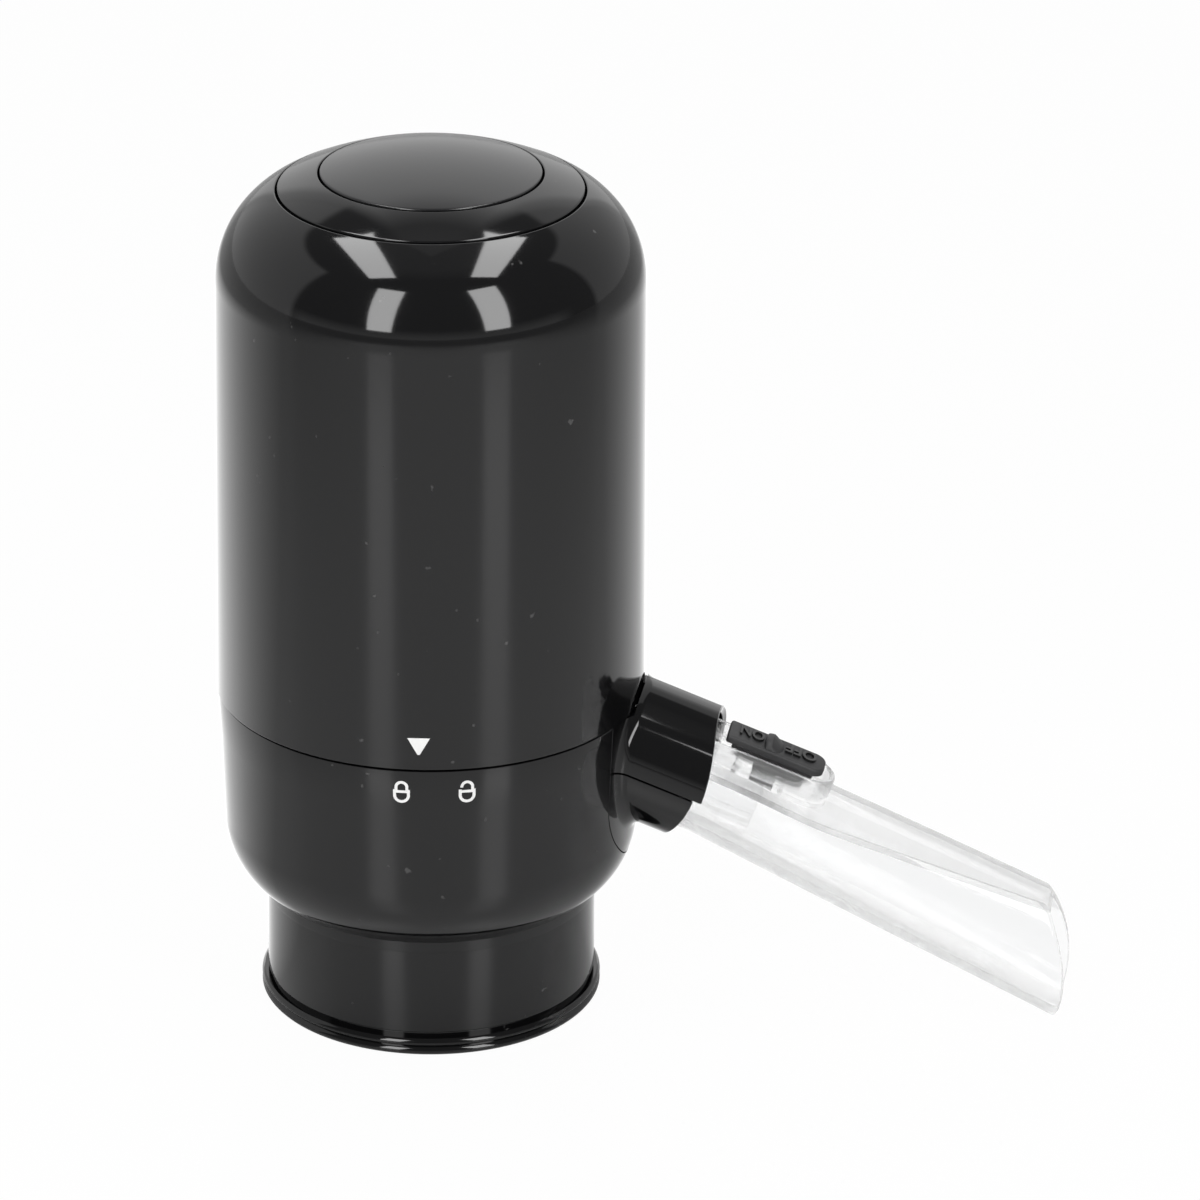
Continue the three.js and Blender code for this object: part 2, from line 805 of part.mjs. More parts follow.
function motorCan() {
  const bossLow = motorLow - motorBossHeight;
  const bore = shaftRadius + shaftClearance;
  const boreTop = motorLow + shaftInMotor + runningGap;
  const outline = [
    [bore, bossLow],
    [motorBossRadius, bossLow],
    [motorBossRadius, motorLow],
    [motorRadius, motorLow],
    [motorRadius, motorHigh],
    [0, motorHigh],
    [0, boreTop],
    [bore, boreTop],
  ];
  return turned(outline);
}

function eccentric() {
  const high = motorLow - eccentricDrop;
  const wheel = disc(eccentricRadius, high - eccentricHeight, high).translate(eccentricOffset, 0, 0);
  const low = high - eccentricHeight - cutOverrun;
  const bore = disc(shaftRadius + shaftClearance, low, high + cutOverrun, smallSegments);
  return geometryOf(solid(wheel).subtract(solid(bore)));
}

function diaphragm() {
  const stemTop = crankLow + diaphragmStemHeight;
  const outline = [
    [0, diaphragmLow],
    [motorRadius, diaphragmLow],
    [motorRadius, crankLow],
    [diaphragmStemRadius, crankLow],
    [diaphragmStemTopRadius, stemTop],
    [0, stemTop],
  ];
  return turned(outline);
}

function valveCover() {
  const socket = airTubeRadius + airTubeClearance;
  const socketTop = cageLow + airTubeSocket;
  const outline = [
    [socket, cageLow],
    [motorRadius, cageLow],
    [motorRadius, diaphragmLow],
    [airTubeBore, diaphragmLow],
    [airTubeBore, socketTop],
    [socket, socketTop],
  ];
  return turned(outline);
}

const airCupFloor = blockHigh - airCupDepth;

function airTube() {
  const low = airCupFloor + airTubeBore;
  const high = cageLow + airTubeSocket - runningGap;
  return ring(airTubeBore, airTubeRadius, low, high, smallSegments);
}

function airSeal() {
  const middle = (airTubeRadius + airCupRadius) / 2;
  const height = blockHigh - airSealRadius - runningGap;
  return new THREE.TorusGeometry(middle, airSealRadius, airSealSides, midSegments).translate(0, 0, height);
}

function manifold() {
  const deck = solid(disc(deckRadius, deckLow, deckHigh, shellSegments));
  const column = solid(disc(blockRadius, deckLow, blockHigh));
  const postLow = deckHigh - postSink;
  const posts = postAngles.map((angle) =>
    solid(atAngle(disc(postRadius, postLow, lockRingLow, smallSegments), postCircle, angle)),
  );
  const tip = blockRadius + nippleLength;
  const nipple = solid(rod(nippleRadius, 0, tip).translate(0, 0, nippleHeight));
  const low = deckLow - cutOverrun;
  const socket = nozzleRadius + runningGap;
  const nozzleTop = deckHigh + nozzleFlangeHeight;
  const airLink = blockHigh - airCupDepth + airBore;
  const bores = [
    disc(socket, low, nozzleTop, smallSegments),
    disc(wineBore, low, nippleHeight, smallSegments),
    rod(nippleBore, 0, tip + cutOverrun).translate(0, 0, nippleHeight),
    disc(airCupRadius, airCupFloor, blockHigh + cutOverrun),
    disc(airBore, low, airLink, smallSegments).translate(-airBoreOffset, 0, 0),
    rod(airBore, -airBoreOffset, 0).translate(0, 0, airLink),
  ];
  const screwHoles = postAngles.map((angle) => {
    const bottom = lockRingHigh - lockScrewLength - runningGap;
    const hole = disc(lockScrewRadius + shaftClearance, bottom, lockRingLow + cutOverrun, smallSegments);
    return atAngle(hole, postCircle, angle);
  });
  return geometryOf(cut(union(deck, column, ...posts, nipple), ...[...bores, ...screwHoles].map(solid)));
}

function intakeNozzle() {
  const flangeLow = deckLow - nozzleFlangeHeight;
  const outline = [
    [wineBore, nozzleLow],
    [nozzleRadius, nozzleLow],
    [nozzleRadius, flangeLow],
    [nozzleRadius + nozzleFlangeWidth, flangeLow],
    [nozzleRadius + nozzleFlangeWidth, deckLow],
    [nozzleRadius, deckLow],
    [nozzleRadius, deckHigh],
    [wineBore, deckHigh],
  ];
  return turned(outline, smallSegments);
}

function bottleSeal() {
  const bore = nozzleRadius + runningGap;
  const recess = nozzleRadius + nozzleFlangeWidth + runningGap;
  const recessLow = deckLow - nozzleFlangeHeight - runningGap;
  const flangeLow = deckLow - sealFlangeHeight;
  const ribPitch = (flangeLow - sealLow) / sealRibs;
  const ribbed = Array.from({ length: sealRibs }, (_, i) => {
    const low = sealLow + i * ribPitch;
    return [
      [sealRadius, low],
      [sealRadius + sealRibRise, low + sealRibHeight / 2],
      [sealRadius + sealRibRise, low + sealRibHeight],
      [sealRadius, low + sealRibHeight],
    ];
  }).flat();
  const outline = [
    [bore, sealLow],
    ...ribbed,
    [sealRadius, flangeLow],
    [sealRadius + sealFlangeWidth, flangeLow],
    [sealRadius + sealFlangeWidth, deckLow],
    [recess, deckLow],
    [recess, recessLow],
    [bore, recessLow],
  ];
  const low = sealLow - cutOverrun;
  const airHole = disc(airBore, low, deckLow + cutOverrun, smallSegments).translate(-airBoreOffset, 0, 0);
  return geometryOf(solid(turned(outline)).subtract(solid(airHole)));
}

function neckSleeve() {
  const low = lipHeight + lipGrooveHeight;
  const inner = sleeveRadius - sleeveWall;
  const bandLow = housingBottom() - sleeveBandHeight;
  const outline = [
    [inner, low],
    [sleeveRadius, low],
    [sleeveRadius, bandLow],
    [sleeveRadius + sleeveBandRise, bandLow],
    [sleeveRadius + sleeveBandRise, deckLow],
    [inner, deckLow],
  ];
  return turned(outline, shellSegments);
}

function lipRing() {
  const inner = sleeveRadius - sleeveWall;
  const bead = lipHeight / 2;
  const dip = lipRadius - beadDip;
  const beadShares = [0.2, 0.5, 0.8];
  const beads = [0, 1].map((row) =>
    beadShares.map((share) => {
      const out = dip + beadDip * Math.sin(share * Math.PI);
      return [out, (row + share) * bead];
    }),
  );
  const neck = lipRadius - lipGrooveDepth - beadDip;
  const outline = [
    [inner, 0],
    [dip, 0],
    ...beads[0],
    [dip, bead],
    ...beads[1],
    [dip, lipHeight],
    [neck, lipHeight],
    [neck, lipHeight + lipGrooveHeight],
    [inner, lipHeight + lipGrooveHeight],
  ];
  return turned(outline, shellSegments);
}

const undersideCentre = lowerBottomRadius - undersideRadius;

function undersideAngle(radius) {
  return -Math.acos((neckHoleRadius - undersideCentre) / radius);
}

function housingBottom() {
  return undersideStart + undersideRadius * Math.sin(undersideAngle(undersideRadius));
}

function lowerShell() {
  const innerRadius = undersideRadius - wall;
  const outerStart = undersideAngle(undersideRadius);
  const innerEnd = undersideAngle(innerRadius);
  const outer = arc(undersideCentre, undersideStart, undersideRadius, outerStart, 0, undersideSteps);
  const inner = arc(undersideCentre, undersideStart, innerRadius, 0, innerEnd, undersideInnerSteps);
  const top = [
    [lowerTopRadius, lowerTop],
    [lowerTopRadius - wall, lowerTop],
  ];
  return solid(turned([...outer, ...top, ...inner], shellSegments));
}

// The U-shaped outline of the socket's slot, open at the seam, as a bar along +X.
function slotBar(halfWidth, top) {
  const shape = new THREE.Shape();
  const centre = slotBottom + slotHalfWidth;
  shape.moveTo(halfWidth, top);
  shape.lineTo(-halfWidth, top);
  shape.lineTo(-halfWidth, centre);
  shape.absarc(0, centre, halfWidth, Math.PI, 2 * Math.PI, false);
  shape.closePath();
  const bar = raised(shape, bodyRadius + cutOverrun, slotSegments);
  return solid(bar.rotateX(Math.PI / 2).rotateZ(Math.PI / 2));
}

function lowerHousing() {
  return geometryOf(lowerShell().subtract(slotBar(slotHalfWidth, lowerTop + cutOverrun)));
}

// Turns a form made along the socket's axis, with its top at +Z, into the body's frame.
function alongSocket(geometry) {
  return geometry.rotateY(socketPitch * degree).translate(bodyRadius, 0, socketRootHeight);
}

// How far along the socket's axis the housing's skin lies, at a distance and angle about that axis.
function skinAlong(distance, angle) {
  const side = distance * Math.cos(angle);
  const height = distance * Math.sin(angle);
  const turn = socketPitch * degree;
  const outwards = Math.sqrt(lowerTopRadius ** 2 - side ** 2);
  return (outwards - bodyRadius - height * Math.sin(turn)) / Math.cos(turn);
}

// The socket's outer form: a flare that hugs the housing's skin and runs out into a straight collar.
function collarForm(far) {
  const sides = shellSegments;
  const positions = [];
  const indices = [];
  const rings = [[socketRadius + socketFlare, -socketInset, false]];
  for (let i = 0; i <= flareSteps; i++) {
    const turn = ((i / flareSteps) * Math.PI) / 2;
    const out = socketRadius + socketFlare * (1 - Math.sin(turn));
    rings.push([out, socketFlare * (1 - Math.cos(turn)), true]);
  }
  rings.push([socketRadius, far, false]);
  rings.forEach(([distance, along, onSkin]) => {
    for (let j = 0; j < sides; j++) {
      const angle = (j / sides) * 2 * Math.PI;
      const start = onSkin ? skinAlong(distance, angle) : 0;
      positions.push(start + along, distance * Math.cos(angle), distance * Math.sin(angle));
    }
  });
  for (let i = 0; i < rings.length - 1; i++) {
    for (let j = 0; j < sides; j++) {
      const here = i * sides + j;
      const beside = i * sides + ((j + 1) % sides);
      indices.push(here, beside, here + sides, beside, beside + sides, here + sides);
    }
  }
  const last = (rings.length - 1) * sides;
  for (let j = 1; j < sides - 1; j++) {
    indices.push(0, j + 1, j, last, last + j, last + j + 1);
  }
  const geometry = new THREE.BufferGeometry();
  geometry.setAttribute("position", new THREE.Float32BufferAttribute(positions, 3));
  geometry.setIndex(indices);
  return geometry;
}

function socketHalf(side, length) {
  const saddleEnd = length + socketSaddleRadius;
  const tube = solid(alongSocket(collarForm(length + socketFlare + cutOverrun)));
  const reach = socketRadius + cutOverrun;
  const saddle = disc(socketSaddleRadius, -reach, reach, saddleSegments).translate(saddleEnd, 0, 0);
  const skinRadius = lowerBottomRadius - wall / 2;
  const tall = seamHeight + bodyRadius;
  const inside = solid(disc(skinRadius, 0, tall, shellSegments));
  const besideHead = solid(disc(bodyRadius + runningGap, lowerTop, tall, saddleSegments));
  const collar = cut(tube, solid(alongSocket(saddle)), inside, besideHead);
  const flange = lowerShell().intersect(slotBar(slotHalfWidth - slotGap, lowerTop + cutOverrun));
  const bore = solid(alongSocket(rod(socketBore, -bodyRadius, bodyRadius, shellSegments)));
  const gap = partingGap / 2;
  const low = side > 0 ? gap : -bodyRadius;
  const high = side > 0 ? bodyRadius : -gap;
  const half = block(-bodyRadius, bodyRadius, -bodyRadius, bodyRadius, low, high);
  return geometryOf(union(flange, collar).subtract(bore).intersect(solid(alongSocket(half))));
}

function mix(from, to, share) {
  return from + (to - from) * share;
}

function eased(share) {
  const held = Math.min(Math.max(share, 0), 1);
  return held * held * (3 - 2 * held);
}

// The spout's section at a station: an oval cut flat on top, all moved in by an inset.
function spoutSection(along, inset, sides) {
  const grown = Math.max(along - spoutTopBlendStart, 0) / (spoutTipTop - spoutTopBlendStart);
  const halfWidth = mix(spoutRadius, spoutTipHalfWidth, Math.pow(grown, spoutNarrowing)) - inset;
  const halfHeight = mix(spoutRadius, spoutTipHalfHeight, grown) - inset;
  const centre = -spoutTipDrop * grown;
  const blend = (along - spoutTopBlendStart) / (spoutTopBlendEnd - spoutTopBlendStart);
  const top = mix(spoutTopNear, spoutTopFar, eased(blend)) - inset;
  const flatAngle = Math.asin((top - centre) / halfHeight);
  return Array.from({ length: sides }, (_, i) => {
    const angle = Math.PI - flatAngle + ((Math.PI + 2 * flatAngle) * i) / (sides - 1);
    return [halfWidth * Math.cos(angle), centre + halfHeight * Math.sin(angle)];
  });
}

// Where the spout's mouth lies at a height: further out below the top edge.
function mouthAt(height) {
  const total = spoutTipHalfHeight + spoutTipDrop + spoutTopFar;
  const share = (spoutTopFar - height) / total;
  return spoutTipTop + spoutTipLead * share - spoutTipCurl * share * share;
}

function spoutLoft(start, inset, past) {
  const sides = spoutSides;
  const stationShares = [0, 0.1, 0.2, 0.3, 0.42, 0.54, 0.66, 0.78, 0.9, 1];
  const positions = [];
  const indices = [];
  stationShares.forEach((share) => {
    spoutSection(mix(start, spoutTipTop, share), inset, sides).forEach(([side, height]) => {
      const end = mouthAt(height) + past;
      positions.push(mix(start, end, share), side, height);
    });
  });
  for (let i = 0; i < stationShares.length - 1; i++) {
    for (let j = 0; j < sides; j++) {
      const here = i * sides + j;
      const beside = i * sides + ((j + 1) % sides);
      indices.push(here, here + sides, beside, beside, here + sides, beside + sides);
    }
  }
  const last = (stationShares.length - 1) * sides;
  for (let j = 1; j < sides - 1; j++) {
    indices.push(0, j, j + 1, last, last + j + 1, last + j);
  }
  const geometry = new THREE.BufferGeometry();
  geometry.setAttribute("position", new THREE.Float32BufferAttribute(positions, 3));
  geometry.setIndex(indices);
  return geometry;
}

// A plate with two round ends, along X.
function stadium(start, end, halfWidth, low, high) {
  const shape = new THREE.Shape();
  shape.absarc(end - halfWidth, 0, halfWidth, -Math.PI / 2, Math.PI / 2, false);
  shape.absarc(start + halfWidth, 0, halfWidth, Math.PI / 2, (3 * Math.PI) / 2, false);
  shape.closePath();
  return raised(shape, high - low, notchSegments).translate(0, 0, low);
}

function spoutTube() {
  const outer = solid(spoutLoft(spoutStart, 0, 0));
  const inner = solid(spoutLoft(spoutStart + spoutWall, spoutWall, cutOverrun));
  const rimLow = spoutTopFar - spoutWall / 2;
  const rim = solid(stadium(rimStart, rimEnd, rimHalfWidth, rimLow, rimTop));
  const pocketHalf = rimHalfWidth - rimWall;
  const top = rimTop + cutOverrun;
  const pocket = stadium(rimStart + rimWall, rimEnd - rimWall, pocketHalf, spoutTopNear, top);
  const slot = stadium(slotStart, slotEnd, slotHalf, 0, top);
  const port = rod(insertRadius + runningGap, spoutStart - cutOverrun, spoutStart + spoutWall + cutOverrun);
  port.translate(0, 0, -insertDrop);
  return geometryOf(cut(union(outer, rim), solid(pocket), solid(slot), inner, solid(port)));
}

function spoutInsert() {
  const flangeHigh = spoutStart - runningGap;
  const flangeRadius = insertRadius + insertFlangeWidth;
  const outline = [
    [0, insertInnerEnd],
    [insertRadius, insertInnerEnd],
    [insertRadius, flangeHigh - insertFlangeHeight],
    [flangeRadius, flangeHigh - insertFlangeHeight],
    [flangeRadius, flangeHigh],
    [insertRadius, flangeHigh],
    [insertRadius, insertOuterEnd],
    [0, insertOuterEnd],
  ];
  const barrel = solid(turned(outline).rotateY(Math.PI / 2));
  const reach = -insertNippleReach;
  const corner = insertInnerEnd + insertRadius;
  const leg = solid(disc(nippleRadius, reach, 0, smallSegments).translate(corner, 0, 0));
  const bore = solid(rod(insertBore, insertInnerEnd + insertWall, insertOuterEnd + cutOverrun));
  const legBore = disc(nippleBore, reach - cutOverrun, 0, smallSegments);
  const legCut = solid(legBore.translate(corner, 0, 0));
  return geometryOf(cut(union(barrel, leg), bore, legCut)).translate(0, 0, -insertDrop);
}

// The hose slips over the manifold's nipple and over the insert's leg.
function wineHose() {
  const turn = socketPitch * degree;
  const along = insertInnerEnd + insertRadius;
  const legEnd = new THREE.Vector3(along, 0, -insertDrop - insertNippleReach);
  legEnd.applyAxisAngle(new THREE.Vector3(0, 1, 0), turn);
  legEnd.add(new THREE.Vector3(bodyRadius, 0, socketRootHeight));
  const up = new THREE.Vector3(Math.sin(turn), 0, Math.cos(turn));
  const start = new THREE.Vector3(blockRadius + runningGap, 0, nippleHeight);
  const straight = start.clone().add(new THREE.Vector3(hoseGrip, 0, 0));
  const grip = legEnd.clone().addScaledVector(up, hoseGrip);
  const path = new THREE.CurvePath();
  path.add(new THREE.LineCurve3(start, straight));
  const nearCorner = straight.clone().add(new THREE.Vector3(hoseGrip, 0, 0));
  const farCorner = legEnd.clone().addScaledVector(up, -hoseGrip);
  path.add(new THREE.CubicBezierCurve3(straight, nearCorner, farCorner, legEnd));
  path.add(new THREE.LineCurve3(legEnd, grip));
  return hollowTube(path, hoseRadius, hoseBore, hoseSteps, hoseSides);
}

function sliderButton() {
  const plate = solid(stadium(sliderStart, sliderEnd, sliderHalfWidth, sliderLow, sliderTop));
  const wedgeEnd = wedgeStart + wedgeLength;
  const shape = new THREE.Shape();
  shape.moveTo(wedgeStart, sliderTop - wedgeHeight);
  shape.lineTo(wedgeEnd, sliderTop - wedgeHeight);
  shape.lineTo(wedgeEnd, sliderTop);
  shape.lineTo(mix(wedgeStart, wedgeEnd, wedgeCrestShare), sliderTop + wedgeHeight);
  shape.lineTo(wedgeStart, sliderTop + wedgeHeight * wedgeFaceShare);
  shape.closePath();
  const ridge = raised(shape, 2 * wedgeHalfWidth);
  ridge.rotateX(Math.PI / 2).translate(0, wedgeHalfWidth, 0);
  return geometryOf(plate.add(solid(ridge)));
}

function sliderCarrier() {
  const high = carrierTop;
  const low = high - carrierThickness;
  const barLow = low - carrierBarHeight;
  const plate = stadium(sliderStart + carrierInset, sliderEnd - carrierInset, carrierHalfWidth, low, high);
  const barEnd = sliderEnd - carrierInset;
  const half = carrierBarHalfWidth;
  const bar = block(sliderStart + carrierBarStep, barEnd - half, -half, half, barLow, high);
  const fin = block(finStart, finEnd, -finHalfWidth, finHalfWidth, finLow, high);
  return geometryOf(union(solid(plate), solid(bar), solid(fin)));
}

const aerator = new THREE.Group();
const spout = new THREE.Group();
spout.position.set(bodyRadius, 0, socketRootHeight);
spout.rotation.y = socketPitch * degree;
aerator.add(spout);

function piece(name, geometry, look, parent = aerator) {
  const closed = tidy(geometry);
  closed.computeVertexNormals();
  const mesh = new THREE.Mesh(closed, new THREE.MeshStandardMaterial(look));
  mesh.name = name;
  parent.add(mesh);
}

// Base
piece("lower_housing", lowerHousing(), black);
piece("neck_sleeve", neckSleeve(), black);
piece("lip_ring", lipRing(), black);
piece("manifold", manifold(), darkPlastic);
piece("bottle_seal", bottleSeal(), rubber);
piece("intake_nozzle", intakeNozzle(), whitePlastic);
piece("lock_ring", lockRing(), darkPlastic);
postAngles.forEach((angle, i) => piece(`lock_ring_screw_${i + 1}`, lockScrew(angle), steel));
piece("air_seal", airSeal(), rubber);
piece("wine_hose", wineHose(), whitePlastic);
piece("spout_hood", socketHalf(1, hoodLength), black);
piece("spout_cradle", socketHalf(-1, cradleLength), black);
piece("spout_tube", spoutTube(), clear, spout);
piece("spout_insert", spoutInsert(), clear, spout);
piece("slider_button", sliderButton(), softGrey, spout);
piece("slider_carrier", sliderCarrier(), softGrey, spout);

// Head
piece("upper_housing", upperHousing(), black);
piece("top_ring", topRing(), black);
piece("button_cap", buttonCap(), black);
piece("button_spring", buttonSpring(), steel);
piece("button_guide", buttonGuide(), darkPlastic);
piece("circuit_board", disc(boardRadius, upperPlateHigh, boardHigh), boardGreen);
piece("switch_body", switchBody(), darkPlastic);
piece("switch_plunger", switchPlunger(), whitePlastic);
piece("cell_cage", cellCage(), darkPlastic);
piece("cell_plate_lower", lowerCellPlate(), darkPlastic);
piece("cell_plate_upper", upperCellPlate(), darkPlastic);
cellAngles.forEach((angle, i) => {
  const nubUp = i % 2 === 0;
  const low = nubUp ? contactLowTop + contactSpringHeight : contactLowTop;
  const springLow = nubUp ? contactLowTop : contactHighLow - contactSpringHeight;
  const springHigh = springLow + contactSpringHeight;
  const spring = coil(contactSpringRadius, contactWire, springLow, springHigh, contactSpringTurns);
  piece(`cell_${i + 1}`, atAngle(cell(low, nubUp), cellCircle, angle), cellBlue);
  piece(`contact_spring_${i + 1}`, atAngle(spring, cellCircle, angle), steel);
});
const stripAngles = cellAngles.map((angle) => angle + cellSpacing / 2);
piece("contact_strip_lower_1", contactStrip(cageLow, stripAngles[0]), brass);
piece("contact_strip_lower_2", contactStrip(cageLow, stripAngles[2]), brass);
piece("contact_strip_upper_1", contactStrip(contactHighLow, stripAngles[1]), brass);
piece("contact_strip_upper_2", contactStrip(contactHighLow, stripAngles[3]), brass);
piece("motor_can", motorCan(), steel);
[-1, 1].forEach((side, i) => {
  const lead = disc(leadRadius, motorHigh, upperPlateHigh, smallSegments).translate(side * leadOffset, 0, 0);
  piece(`motor_lead_${i + 1}`, lead, side > 0 ? leadRed : rubber);
});
piece("motor_shaft", disc(shaftRadius, shaftLow, motorLow + shaftInMotor, smallSegments), steel);
piece("eccentric", eccentric(), whitePlastic);
piece("crank_housing", ring(motorRadius - crankWall, motorRadius, crankLow, motorLow), darkPlastic);
piece("diaphragm", diaphragm(), rubber);
piece("valve_cover", valveCover(), darkPlastic);
piece("air_tube", airTube(), whitePlastic);
piece("lock_plate", lockPlate(), darkPlastic);
headScrewAngles.forEach((angle, i) => piece(`head_screw_${i + 1}`, headScrew(angle), steel));

const springHigh = crownAt(buttonSpringRadius) - buttonWall - runningGap;
const gaps = {
  button: coilGap(buttonWire, guideHigh, springHigh, buttonSpringTurns),
  contact: coilGap(contactWire, 0, contactSpringHeight, contactSpringTurns),
};
console.log("least gap in the coils, mm:", gaps.button.toFixed(2), gaps.contact.toFixed(2));

export default aerator;
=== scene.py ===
import json
import math

import bmesh
import bpy
from mathutils import Matrix, Vector

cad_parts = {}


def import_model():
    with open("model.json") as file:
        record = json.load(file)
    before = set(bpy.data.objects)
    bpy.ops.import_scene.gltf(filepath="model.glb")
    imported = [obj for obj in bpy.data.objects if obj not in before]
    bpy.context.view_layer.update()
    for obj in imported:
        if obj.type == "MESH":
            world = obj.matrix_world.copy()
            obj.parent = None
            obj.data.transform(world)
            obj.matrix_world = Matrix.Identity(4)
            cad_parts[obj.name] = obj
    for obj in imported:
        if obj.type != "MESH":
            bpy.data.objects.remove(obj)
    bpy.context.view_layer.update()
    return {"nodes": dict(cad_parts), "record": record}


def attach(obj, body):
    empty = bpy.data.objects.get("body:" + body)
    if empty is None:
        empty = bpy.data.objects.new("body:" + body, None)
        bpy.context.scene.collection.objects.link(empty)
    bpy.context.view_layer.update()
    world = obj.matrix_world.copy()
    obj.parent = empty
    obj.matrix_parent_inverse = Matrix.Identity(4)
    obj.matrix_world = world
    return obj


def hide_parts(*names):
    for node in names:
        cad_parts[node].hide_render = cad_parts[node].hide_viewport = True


# An electric wine aerator: its visible pieces, finishes, studio light and camera.
# Sizes are in millimetres, in the frame of the model, and are turned into metres where a mesh is made.

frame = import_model()

MM = 0.001
DETAIL = 1.0
SMOOTH_ANGLE = math.radians(28)
OVERRUN = 2.0
WELD_BEFORE = 1e-8
WELD_AFTER = 5e-7

# Steps round curved forms
ROUND = int(256 * DETAIL)
COLLAR_SIDES = int(240 * DETAIL)
SHOULDER_STEPS = 56
WALL_STEPS = 24
RING_STEPS = 24
CROWN_STEPS = 40
UNDERCROWN_STEPS = 8
SLOT_STEPS = int(28 * DETAIL)
BEAD_STEPS = 14
FLARE_STEPS = max(int(14 * DETAIL), 5)
SPOUT_STATIONS = int(60 * DETAIL)
SECTION_STEPS = int(80 * DETAIL)
RIM_STEPS = 32
INSERT_SIDES = 64
LEG_SIDES = 32
WEDGE_STEPS = 16
TRIANGLE_STEPS = 10
LOCK_STEPS = 32
SHACKLE_STEPS = 28

# Body
BODY_RADIUS = 25.75
BODY_HEIGHT = 107.0
SEAM_HEIGHT = 40.0
SEAM_GAP = 0.3
LOWER_TOP = SEAM_HEIGHT - SEAM_GAP / 2
WALL = 1.8
PRINT_RISE = 0.015
SKIN_RADIUS = BODY_RADIUS - PRINT_RISE
UPPER_DRAFT = 0.5
SHOULDER_RADIUS = 12.5
CROWN_RADIUS = 41.4
RING_RADIUS = 18.0
BUTTON_RADIUS = 13.05
GROOVE = 0.22
EDGE = 0.14
GROOVE_EDGE = 0.16

# Button and trim ring under the crown
GUIDE_TOP = 96.9
LEDGE_HEIGHT = 2.7
RING_FLANGE_RADIUS = 19.6
RING_SKIRT_INNER = 14.9
RUNNING_GAP = 0.3
BUTTON_WALL = 1.7
BUTTON_SKIRT_WALL = 1.5
BUTTON_FLANGE_RADIUS = 14.4
BUTTON_FLANGE_HEIGHT = 0.9
BUTTON_POST_RADIUS = 2.2
BUTTON_POST_LOW = 99.1

# Lower housing, neck sleeve and lip ring
LOWER_TOP_RADIUS = 25.45
LOWER_BOTTOM_RADIUS = 24.85
UNDERSIDE_RADIUS = 10.0
UNDERSIDE_CENTRE = LOWER_BOTTOM_RADIUS - UNDERSIDE_RADIUS
UNDERSIDE_START = 23.3
NECK_HOLE_RADIUS = 20.35
DECK_LOW = 17.6
SLEEVE_RADIUS = 19.85
SLEEVE_BAND_RADIUS = 20.05
SLEEVE_BAND_HEIGHT = 1.5
SLEEVE_WALL = 2.0
SLEEVE_BORE = SLEEVE_RADIUS - SLEEVE_WALL
LIP_HEIGHT = 2.1
LIP_RADIUS = 20.6
LIP_GROOVE_HEIGHT = 0.6
LIP_GROOVE_DEPTH = 0.7
BEAD_DIP = 0.35

# Spout socket
SOCKET_RADIUS = 8.4
SOCKET_BORE = 7.4
SOCKET_PITCH = math.radians(20)
ROOT_HEIGHT = 32.9
HOOD_LENGTH = 6.8
CRADLE_LENGTH = 5.8
SADDLE_RADIUS = 19.5
FLARE = 1.4
SLOT_HALF_WIDTH = 10.0
SLOT_BOTTOM = 19.9
SLOT_GAP = 0.15
PARTING_GAP = 0.25

# Clear spout, along the socket's axis
SPOUT_RADIUS = 7.1
SPOUT_WALL = 1.2
SPOUT_START = -1.5
SPOUT_TOP_NEAR = 3.3
SPOUT_TOP_FAR = 2.3
TOP_BLEND_START = 8.0
TOP_BLEND_END = 25.0
TIP_TOP = 51.6
TIP_HALF_WIDTH = 5.0
TIP_HALF_HEIGHT = 7.9
TIP_DROP = 4.25
TIP_LEAD = 14.4
TIP_CURL = 7.8
WIDTH_POWER = 1.6
SPOUT_EDGE = 0.25
SPOUT_LEAST_EDGE = 0.12
LIP_ROUND = 0.4
LIP_TRIM = 0.05
RIM_HALF_WIDTH = 3.4
RIM_WALL = 0.75
RIM_EDGE = RIM_WALL / 2 - 0.02
RIM_TOP = 6.0
RIM_START = 3.0
RIM_END = 22.6
SLOT_START = 10.6
SLOT_END = 17.4
SLOT_HALF = 1.3

# Insert, slider and its carrier
INSERT_RADIUS = 2.9
INSERT_BORE = 1.7
INSERT_DROP = 1.4
INSERT_INNER_END = -7.6
INSERT_OUTER_END = 15.0
INSERT_FLANGE_RADIUS = 3.8
INSERT_FLANGE_HEIGHT = 1.2
LEG_RADIUS = 1.6
LEG_BORE = 1.0
LEG_REACH = 7.0
SLIDER_START = 8.6
SLIDER_END = 20.9
SLIDER_HALF_WIDTH = 2.3
SLIDER_LOW = 5.2
SLIDER_STEP = 6.05
SLIDER_TOP = 7.0
SLIDER_EDGE = 0.3
SLIDER_UNDERCUT = 1.0
SLIDER_NEAR_CORNER = 0.35
SLIDER_FAR_CORNER = 1.5
SLIDER_LEAST_CORNERS = (0.1, 0.3)
WEDGE_HEIGHT = 1.0
WEDGE_START = 13.1
WEDGE_END = 15.5
WEDGE_HALF_WIDTH = 2.0
WEDGE_PEAK_SHARE = 0.35
WEDGE_LEVELS = (1.3, 1.5, 0.55)
WEDGE_ROUNDS = (0.4, 0.4, 0.15)
WEDGE_END_NARROW = 0.7
WEDGE_END_LIFT = 0.3
LETTER_RISE = 0.3
LETTER_HEIGHT = 2.3
LETTER_MIDDLE = 0.25
LETTER_EXTRUDE = 0.5
LETTER_BEVEL = 0.02
LETTERS_ON = (9.9, 12.9)
LETTERS_OFF = (15.7, 19.6)
CARRIER_HALF_WIDTH = 2.0
CARRIER_THICKNESS = 0.5
CARRIER_EDGE = 0.12
